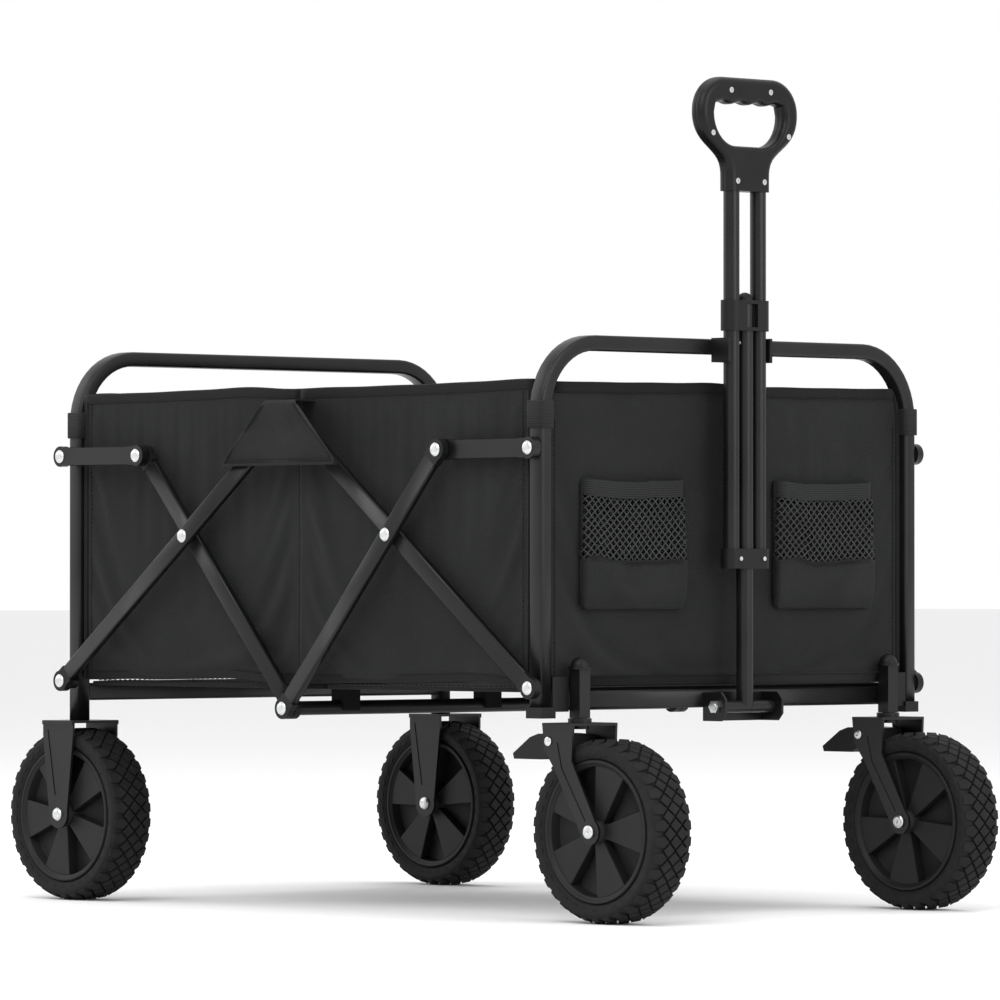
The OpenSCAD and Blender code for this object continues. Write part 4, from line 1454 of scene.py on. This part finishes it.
@dataclass
class ApexCovers:
    """The cloth flap over each apex: a band round the rim and a tapering skirt, with fold lines and stitches."""

    palette: Palette
    repeat: Repeat
    thickness: float = 1.2 * MM

    def cover(self, side: int) -> bpy.types.Object:
        """Builds one flap over the apex, between the two long links."""
        box = Box.of("apex_covers")
        top = joint_at("apex_hinge")
        inner, face = 0.2885, box.high.y - 1.2 * MM
        low, high = box.low.z, box.high.z - 0.8 * MM
        name = "left" if side > 0 else "right"

        def half_at(z: float) -> float:
            """Half width of the skirt at a height."""
            return 98 * MM - (z - low) / (high - low) * 73 * MM

        rows = 34
        over = 7

        def at(u: float, v: float) -> Point:
            """Point of the flap: over the rim first, then down the outside."""
            k = v * (rows + over)
            if k < over:
                t = k / over
                y = inner + (face - 3 * MM - inner) * t
                z = high - 1.2 * MM * (1 - t) ** 2
                half = half_at(high)
                bend = 0.0
            else:
                t = (k - over) / rows
                turn = min(1, t * 12)
                y = face - 3 * MM * (1 - turn) ** 2
                z = high - (high - low) * t
                half = half_at(z)
                bend = t
            x = top.x + (2 * u - 1) * half
            fold = 0.0011 * math.sin(bend * 9.5 + 2.2 * abs(2 * u - 1)) * min(1, 4 * bend)
            lift = min(0.0, fold + 0.0006 * ripple(x * 40, z * 30, 4.0 + side) - 0.0009)
            return (x, side * (y + lift), z)

        tall = high - low + face - inner
        cloth = grid(f"apex_cloth_{name}", 44, rows + over, at, self.palette.oxford, (0.194, tall))
        if side > 0:
            cloth.data.flip_normals()
        thicken(cloth, self.thickness)
        edge = [Vector((top.x + k * half_at(z), side * (face - 0.5 * MM), z))
                for k, z in ((-1, high - 6 * MM), (-1, low + 1.6 * MM), (1, low + 1.6 * MM), (1, high - 6 * MM))]
        hem = sweep(f"apex_hem_{name}", self._eased(edge), Vector((0, 1, 0)),
                    rounded_section(1.7 * MM, 3.2 * MM, 0.7 * MM), self.palette.oxford)
        inset = [p + Vector((-math.copysign(5 * MM, p.x - top.x), side * 1.0 * MM, 5 * MM if p.z < low + 9 * MM else 0))
                 for p in edge]
        rows_of = [self._eased(inset)]
        seams = self.repeat.stitches(f"apex_stitches_{name}", rows_of, self.palette.binding, 0.0046)
        obj = joined(f"apex_cover_{name}", [cloth, hem, seams])
        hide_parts("apex_covers")
        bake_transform(obj)
        return obj

    @staticmethod
    def _eased(line: Sequence[Vector], steps: int = 5) -> list[Vector]:
        """Rounds a line's corners and adds points between them."""
        points = [line[0]]
        for k in range(1, len(line) - 1):
            before, here, after = line[k - 1], line[k], line[k + 1]
            cut = min(8 * MM, (here - before).length / 2.5, (after - here).length / 2.5)
            first = here + (before - here).normalized() * cut
            last = here + (after - here).normalized() * cut
            for i in range(steps + 1):
                t = i / steps
                points.append(first * (1 - t) ** 2 + here * 2 * t * (1 - t) + last * t * t)
        points.append(line[-1])
        return points

    def build(self) -> list[bpy.types.Object]:
        """Builds both flaps."""
        return [self.cover(-1), self.cover(1)]


@dataclass
class Floor:
    """Padded floor: two hinged halves and a narrow middle strip, cloth over boards with stitched edges."""

    palette: Palette
    repeat: Repeat

    def strip(self, node: str, name: str, body: str) -> list[bpy.types.Object]:
        """Builds one strip's cloth cover and stitches in place of its board."""
        box = Box.of(node)
        low, high = box.low, box.high
        if node == "floor_slat":
            low = Vector((low.x, low.y, high.z - 6 * MM))
        nx, ny = (24, 48) if node != "floor_slat" else (8, 48)
        rounding = 2.2 * MM
        lift = 0.0

        def at(u: float, v: float) -> Point:
            """Point of the top face, quilted a little between its seams."""
            x = low.x + rounding + (box.size.x - 2 * rounding) * u
            y = low.y + rounding + (box.size.y - 2 * rounding) * v
            close = min(1, 14 * min(u * (1 - u), v * (1 - v) * 2))
            soft = 0.0010 * close + 0.0005 * ripple(x * 14, y * 11, 6.0) * close
            return (x, y, high.z - 1.3 * MM + soft + lift)

        top = grid(f"{name}_top", nx, ny, at, self.palette.floor, (box.size.x, box.size.y))
        bottom = grid(f"{name}_bottom", nx, ny, lambda u, v: (*at(u, v)[:2], low.z), self.palette.floor,
                      (box.size.x, box.size.y))
        bottom.data.flip_normals()
        ring = [Vector((box.mid.x + a, box.mid.y + b, (low.z + high.z - 1.3 * MM) / 2))
                for a, b in rounded_section(box.size.x - rounding, box.size.y - rounding, 5 * MM, 3)]
        tall = high.z - low.z - 1.2 * MM
        edge = sweep(f"{name}_edge", ring, Vector((0, 0, 1)), rounded_section(tall, rounding, 0.9 * MM),
                     self.palette.binding, closed=True)
        inset = 8 * MM
        z = high.z - 0.45 * MM
        left, right = low.x + inset, high.x - inset
        near, far = low.y + inset, high.y - inset
        corners = [Vector((left, near, z)), Vector((right, near, z)), Vector((right, far, z)),
                   Vector((left, far, z)), Vector((left, near, z))]
        seams = self.repeat.stitches(f"{name}_stitches", [corners], self.palette.binding, 0.0075)
        cloth = joined(f"{name}", [top, bottom, edge, seams])
        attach(cloth, body)
        return [cloth]

    def build(self) -> list[bpy.types.Object]:
        """Builds the cloth covers of the two halves; the middle strip stays as its CAD slat."""
        made = self.strip("floor_board_rear", "floor_cloth_rear", "floor_rear")
        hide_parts("floor_board_rear")
        made += self.strip("floor_board_front", "floor_cloth_front", "floor_front")
        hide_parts("floor_board_front")
        return made


@dataclass
class Handle:
    """The pull handle's two-part moulded grip with its hand opening and screw recesses."""

    palette: Palette
    scallops: int = 48
    rounding: float = 8.5 * MM
    easing: float = 6 * MM

    def build(self) -> list[bpy.types.Object]:
        """Builds the two shells of the grip."""
        box = Box.of("grip_front_shell")
        foot, wide, tall = box.low.z, box.size.y / 2, box.size.z
        neck = [(32.5, -14), (32.5, -4), (32.5, 4), (32.5, 12), (32.6, 20), (33.3, 25), (34.9, 30), (37.8, 34.8),
                (42, 39), (47, 43), (52.5, 47), (58, 51), (63, 55), (67.8, 60), (71.7, 65.5), (74.5, 71.5),
                (76.3, 78), (77, 84)]
        outer = [(y * MM * wide / 0.077, z * MM) for y, z in neck]
        corner = 38 * MM
        outer += [(wide - corner + corner * math.cos(a), tall - corner + corner * math.sin(a))
                  for a in (math.radians(6 * k) for k in range(16))]
        outer += [(-y, z) for y, z in reversed(outer)]
        return [self.shell("grip_shell_front", "grip_front_shell", outer, foot, 1),
                self.shell("grip_shell_rear", "grip_rear_shell", outer, foot, -1), self.rails()]

    def rails(self) -> bpy.types.Object:
        """The grip's two straight tubes."""
        box = Box.of("handle_side_tubes")
        radius, mid = box.size.x / 2, (box.low.x + box.high.x) / 2
        tubes = []
        for sign in (-1, 1):
            def place(a: float, b: float, c: float, y: float = sign * (box.high.y - radius)) -> Point:
                """Stands the tube's ring at its place."""
                return (mid + a, y + b, c)
            tube = prism("rail", ring_section(radius, 48), place, box.low.z, box.high.z, self.palette.pole)
            tube.data.polygons.foreach_set("use_smooth", [True] * len(tube.data.polygons))
            tubes.append(soften(tube, 0.4 * MM))
        obj = joined("handle_rails", tubes)
        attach(obj, "handle_grip")
        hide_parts("handle_side_tubes")
        return obj

    @staticmethod
    def moved(outline: Sequence[tuple[float, float]], inset: float) -> list[tuple[float, float]]:
        """Moves a closed outline to its left by a distance, below 0 to its right."""
        points = []
        for k, here in enumerate(outline):
            sides = []
            for a, b in ((outline[k - 1], here), (here, outline[(k + 1) % len(outline)])):
                along = Vector((b[0] - a[0], b[1] - a[1])).normalized()
                sides.append(Vector((-along.y, along.x)))
            way = (sides[0] + sides[1]).normalized()
            reach = inset / max(0.5, way.dot(sides[0]))
            points.append((here[0] + way.x * reach, here[1] + way.y * reach))
        return points

    def half(self, name: str, outer: Sequence[tuple[float, float]], place: Callable[[float, float, float], Point],
             deep: float) -> bpy.types.Object:
        """Stacks the outline and the window, drawn in towards the face, into one closed shell."""
        levels = [(0.0, 0.035), (0.5 * MM, 0.0)]
        levels += [(deep - self.rounding * (1 - math.sin(a)), 1 - math.cos(a))
                   for a in (math.radians(10 * k) for k in range(10))]
        bm = bmesh.new()
        ends = []
        for outline, inset in ((outer, self.rounding), (self.window(), -self.easing)):
            loops = [[bm.verts.new(place(a, b, depth)) for a, b in self.moved(outline, inset * share)]
                     for depth, share in levels]
            for low, high in zip(loops, loops[1:]):
                for k in range(len(low)):
                    after = (k + 1) % len(low)
                    bm.faces.new((low[k], low[after], high[after], high[k]))
            ends.append((loops[0], loops[-1]))
        for level in (0, 1):
            rim = [bm.edges.get((loop[level][k], loop[level][k - 1])) for loop in ends
                   for k in range(len(loop[level]))]
            bmesh.ops.triangle_fill(bm, use_beauty=True, use_dissolve=False, edges=rim)
        foot = place(0, 0, 0)
        cut = bmesh.ops.bisect_plane(bm, geom=bm.verts[:] + bm.edges[:] + bm.faces[:], plane_co=foot,
                                     plane_no=(0, 0, -1), clear_outer=True)
        rim = [e for e in cut["geom_cut"] if isinstance(e, bmesh.types.BMEdge)]
        bmesh.ops.triangle_fill(bm, use_beauty=True, use_dissolve=False, edges=rim)
        bmesh.ops.recalc_face_normals(bm, faces=bm.faces)
        mesh = bpy.data.meshes.new(name)
        bm.to_mesh(mesh)
        bm.free()
        mesh.materials.append(self.palette.grip)
        mesh.polygons.foreach_set("use_smooth", [True] * len(mesh.polygons))
        obj = bpy.data.objects.new(name, mesh)
        bpy.context.scene.collection.objects.link(obj)
        return obj

    def window(self) -> list[tuple[float, float]]:
        """The hand opening: rounded below, finger scallops above."""
        half, low, high, r = 55 * MM, 50 * MM, 97 * MM, 36 * MM
        outline = [(-half + r + r * math.cos(a), low + r + r * math.sin(a))
                   for a in (math.radians(180 + 10 * k) for k in range(10))]
        outline += [(half - r + r * math.cos(a), low + r + r * math.sin(a))
                    for a in (math.radians(270 + 10 * k) for k in range(10))]
        outline += [(half * (1 - 2 * k / self.scallops),
                     high + 2.6 * MM * math.sin(TAU * (1 - 2 * k / self.scallops)) ** 2 - 1 * MM)
                    for k in range(1, self.scallops)]
        return outline

    def shell(self, name: str, node: str, outer: Sequence[tuple[float, float]], foot: float,
              side: int) -> bpy.types.Object:
        """One half of the grip, with its parting edge eased and, in front, its screw recesses."""
        box = Box.of(node)
        start = box.low.x if side > 0 else box.high.x

        def place(a: float, b: float, c: float) -> Point:
            """Sets a point of the outline at a depth from the parting face."""
            return (start + side * c, a, foot + b)

        obj = self.half(name, outer, place, box.size.x)
        if side > 0:
            self.recesses(obj, foot)
        modifier(obj, "BEVEL", width=0.4 * MM, segments=1, limit_method="ANGLE", angle_limit=math.radians(50))
        modifier(obj, "WEIGHTED_NORMAL", keep_sharp=True)
        settle(obj)
        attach(obj, "handle_grip")
        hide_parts(node)
        return obj

    def recesses(self, obj: bpy.types.Object, foot: float) -> None:
        """Sinks the round screw recesses into the front shell."""
        face = Box.of("grip_front_shell").high.x
        cutters = []
        ring = ring_section(3.5 * MM, 20)
        for y, z in ((31, 111.5), (59.5, 63), (21, 11)):
            for sign in (-1, 1):
                def place(a: float, b: float, c: float, y: float = sign * y * MM, z: float = foot + z * MM) -> Point:
                    """Sets the cutter across the grip's face."""
                    return (c, y + a, z + b)
                cutters.append(prism("recess", ring, place, face - 2 * MM, face + 2 * MM, self.palette.grip))
        cutter = joined("recess cutters", cutters)
        modifier(obj, "BOOLEAN", object=cutter, operation="DIFFERENCE", solver="EXACT")
        settle(obj)
        bpy.data.objects.remove(cutter)


@dataclass
class Fittings:
    """Finishes and eased edges for the CAD pieces that stay in view."""

    palette: Palette

    def build(self) -> None:
        """Sets materials, slots and edge rounding."""
        p = self.palette
        painted = ("rear_wheel_forks", "caster_posts", "rear_spacers", "front_spacers", "centre_tube",
                   "rear_short_links", "front_short_links", "handle_bracket", "caster_fork_left",
                   "caster_fork_right")
        plastic = ("rail_sockets", "foot_caps", "caster_post_caps", "rear_long_caps", "front_long_caps",
                   "rear_cross_caps", "front_cross_caps", "handle_clip", "pole_collar", "sliding_collar",
                   "brake_pedal_left", "brake_pedal_right")
        zinc = ("rear_axle_bolts", "rear_rivets", "front_rivets", "apex_rivets", "cross_rivets", "short_rivets",
                "handle_pivot_bolt", "lock_button", "grip_screws")
        for names, finish, slot, width in ((painted, p.frame, "frame_paint", 0.7 * MM),
                                           (plastic, p.plastic, "black_plastic", 0.8 * MM),
                                           (zinc, p.zinc, "zinc_steel", 0.3 * MM),
                                           (("handle_pole",), p.pole, "handle_paint", 0.0),
                                           (("floor_slat",), p.floor, "floor_fabric", 0.8 * MM)):
            for name in names:
                self.dress(FRAME["nodes"][name], finish, slot, width)

    @staticmethod
    def dress(obj: bpy.types.Object, finish: bpy.types.Material, slot: str, width: float) -> None:
        """Gives one CAD piece its finish and rounds its edges without touching its own mesh."""
        while len(obj.material_slots) < 1:
            obj.data.materials.append(finish)
        for place in obj.material_slots:
            place.link = "OBJECT"
            place.material = finish
        if width:
            modifier(obj, "BEVEL", width=width, segments=2, limit_method="ANGLE", angle_limit=math.radians(35),
                     use_clamp_overlap=True)
            modifier(obj, "WEIGHTED_NORMAL", keep_sharp=True)


# ---------------------------------------------------------------- the scene
@dataclass
class Studio:
    """Pale floor and backdrop, soft light and the camera."""

    lens: float = 251.0
    distance: float = 8.027
    azimuth: float = 46.74
    elevation: float = -0.657
    aim: Vector = field(default_factory=lambda: Vector((0, 0, 0.4)))
    shift: tuple[float, float] = (-0.00997, 0.0644)

    def build(self) -> None:
        """Builds everything that isn't the wagon."""
        self.ground()
        self.world()
        self.light("key", (1.6, -3.4, 3.6), 3.2, 105)
        self.light("fill", (-3.8, -2.2, 2.4), 3.4, 50)
        self.light("side", (4.2, 0.6, 1.8), 2.6, 65)
        self.light("top", (0.0, 0.4, 4.6), 3.6, 75)
        self.camera()

    def ground(self) -> None:
        """A pale floor that reaches far behind the wagon."""
        s = Shader("pale floor", Roughness=0.9, Specular_IOR_Level=0.1, Base_Color=(0.86, 0.86, 0.86, 1))
        reach = 60
        floor = piece("studio_floor", [(-reach, -reach, 0), (reach, -reach, 0), (reach, reach, 0), (-reach, reach, 0)],
                      [(0, 1, 2, 3)], s.finish())
        floor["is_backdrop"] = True

    def world(self) -> None:
        """Even white surroundings."""
        world = bpy.data.worlds.new("studio")
        world.use_nodes = True
        sky = world.node_tree.nodes["Background"]
        sky.inputs["Color"].default_value = (1, 1, 1, 1)
        sky.inputs["Strength"].default_value = 1.0
        bpy.context.scene.world = world
        bpy.context.scene.view_settings.view_transform = "Standard"

    def light(self, name: str, at: Point, size: float, power: float) -> None:
        """A square soft box that faces the wagon."""
        lamp = bpy.data.lights.new(name, "AREA")
        lamp.size, lamp.energy = size, power
        obj = bpy.data.objects.new(name, lamp)
        obj.location = at
        way = self.aim - Vector(at)
        obj.rotation_euler = way.to_track_quat("-Z", "Y").to_euler()
        bpy.context.scene.collection.objects.link(obj)

    def camera(self) -> None:
        """The camera at the wanted viewing angle."""
        a, e = math.radians(self.azimuth), math.radians(self.elevation)
        back = Vector((math.sin(a) * math.cos(e), -math.cos(a) * math.cos(e), math.sin(e)))
        right = Vector((math.cos(a), math.sin(a), 0))
        up = back.cross(right)
        lens = bpy.data.cameras.new("camera")
        lens.lens, lens.sensor_width = self.lens, 36
        lens.clip_end = 200
        obj = bpy.data.objects.new("camera", lens)
        turn = Matrix((right, up, back)).transposed().to_4x4()
        spot = self.aim + right * self.shift[0] + up * self.shift[1] + back * self.distance
        obj.matrix_world = Matrix.Translation(spot) @ turn
        bpy.context.scene.collection.objects.link(obj)
        bpy.context.scene.camera = obj


class Wagon:
    """Puts every part of the wagon's look together over its frame."""

    def __init__(self) -> None:
        """Loads the frame and keeps its size."""
        FRAME.update(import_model())
        self.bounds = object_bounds()
        self.palette = Palette()
        self.repeat = Repeat()

    def build(self) -> None:
        """Builds every part."""
        parts = (Tubes(self.palette), Wheels(self.palette, self.repeat), SidePanels(self.palette, self.repeat),
                 EndWalls(self.palette, self.repeat), Pockets(self.palette, self.repeat),
                 ApexCovers(self.palette, self.repeat), Floor(self.palette, self.repeat), Handle(self.palette))
        for part in parts:
            made = part.build()
            faces = sum(len(obj.data.polygons) for obj in made)
            LOG.info("%s: %d pieces, %d faces", type(part).__name__, len(made), faces)
        Fittings(self.palette).build()

    def measure(self) -> None:
        """Writes the frame's bounds and the finished model's bounds."""
        lists = {"frame": [list(corner) for corner in self.bounds],
                 "finished": [list(corner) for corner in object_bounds()]}
        LOG.info("size %s", lists)


def main() -> None:
    """Builds the wagon and its studio."""
    logging.basicConfig(level=logging.INFO, format="%(name)s: %(message)s")
    wagon = Wagon()
    wagon.build()
    Studio().build()
    wagon.measure()


if __name__ == "__main__":
    main()
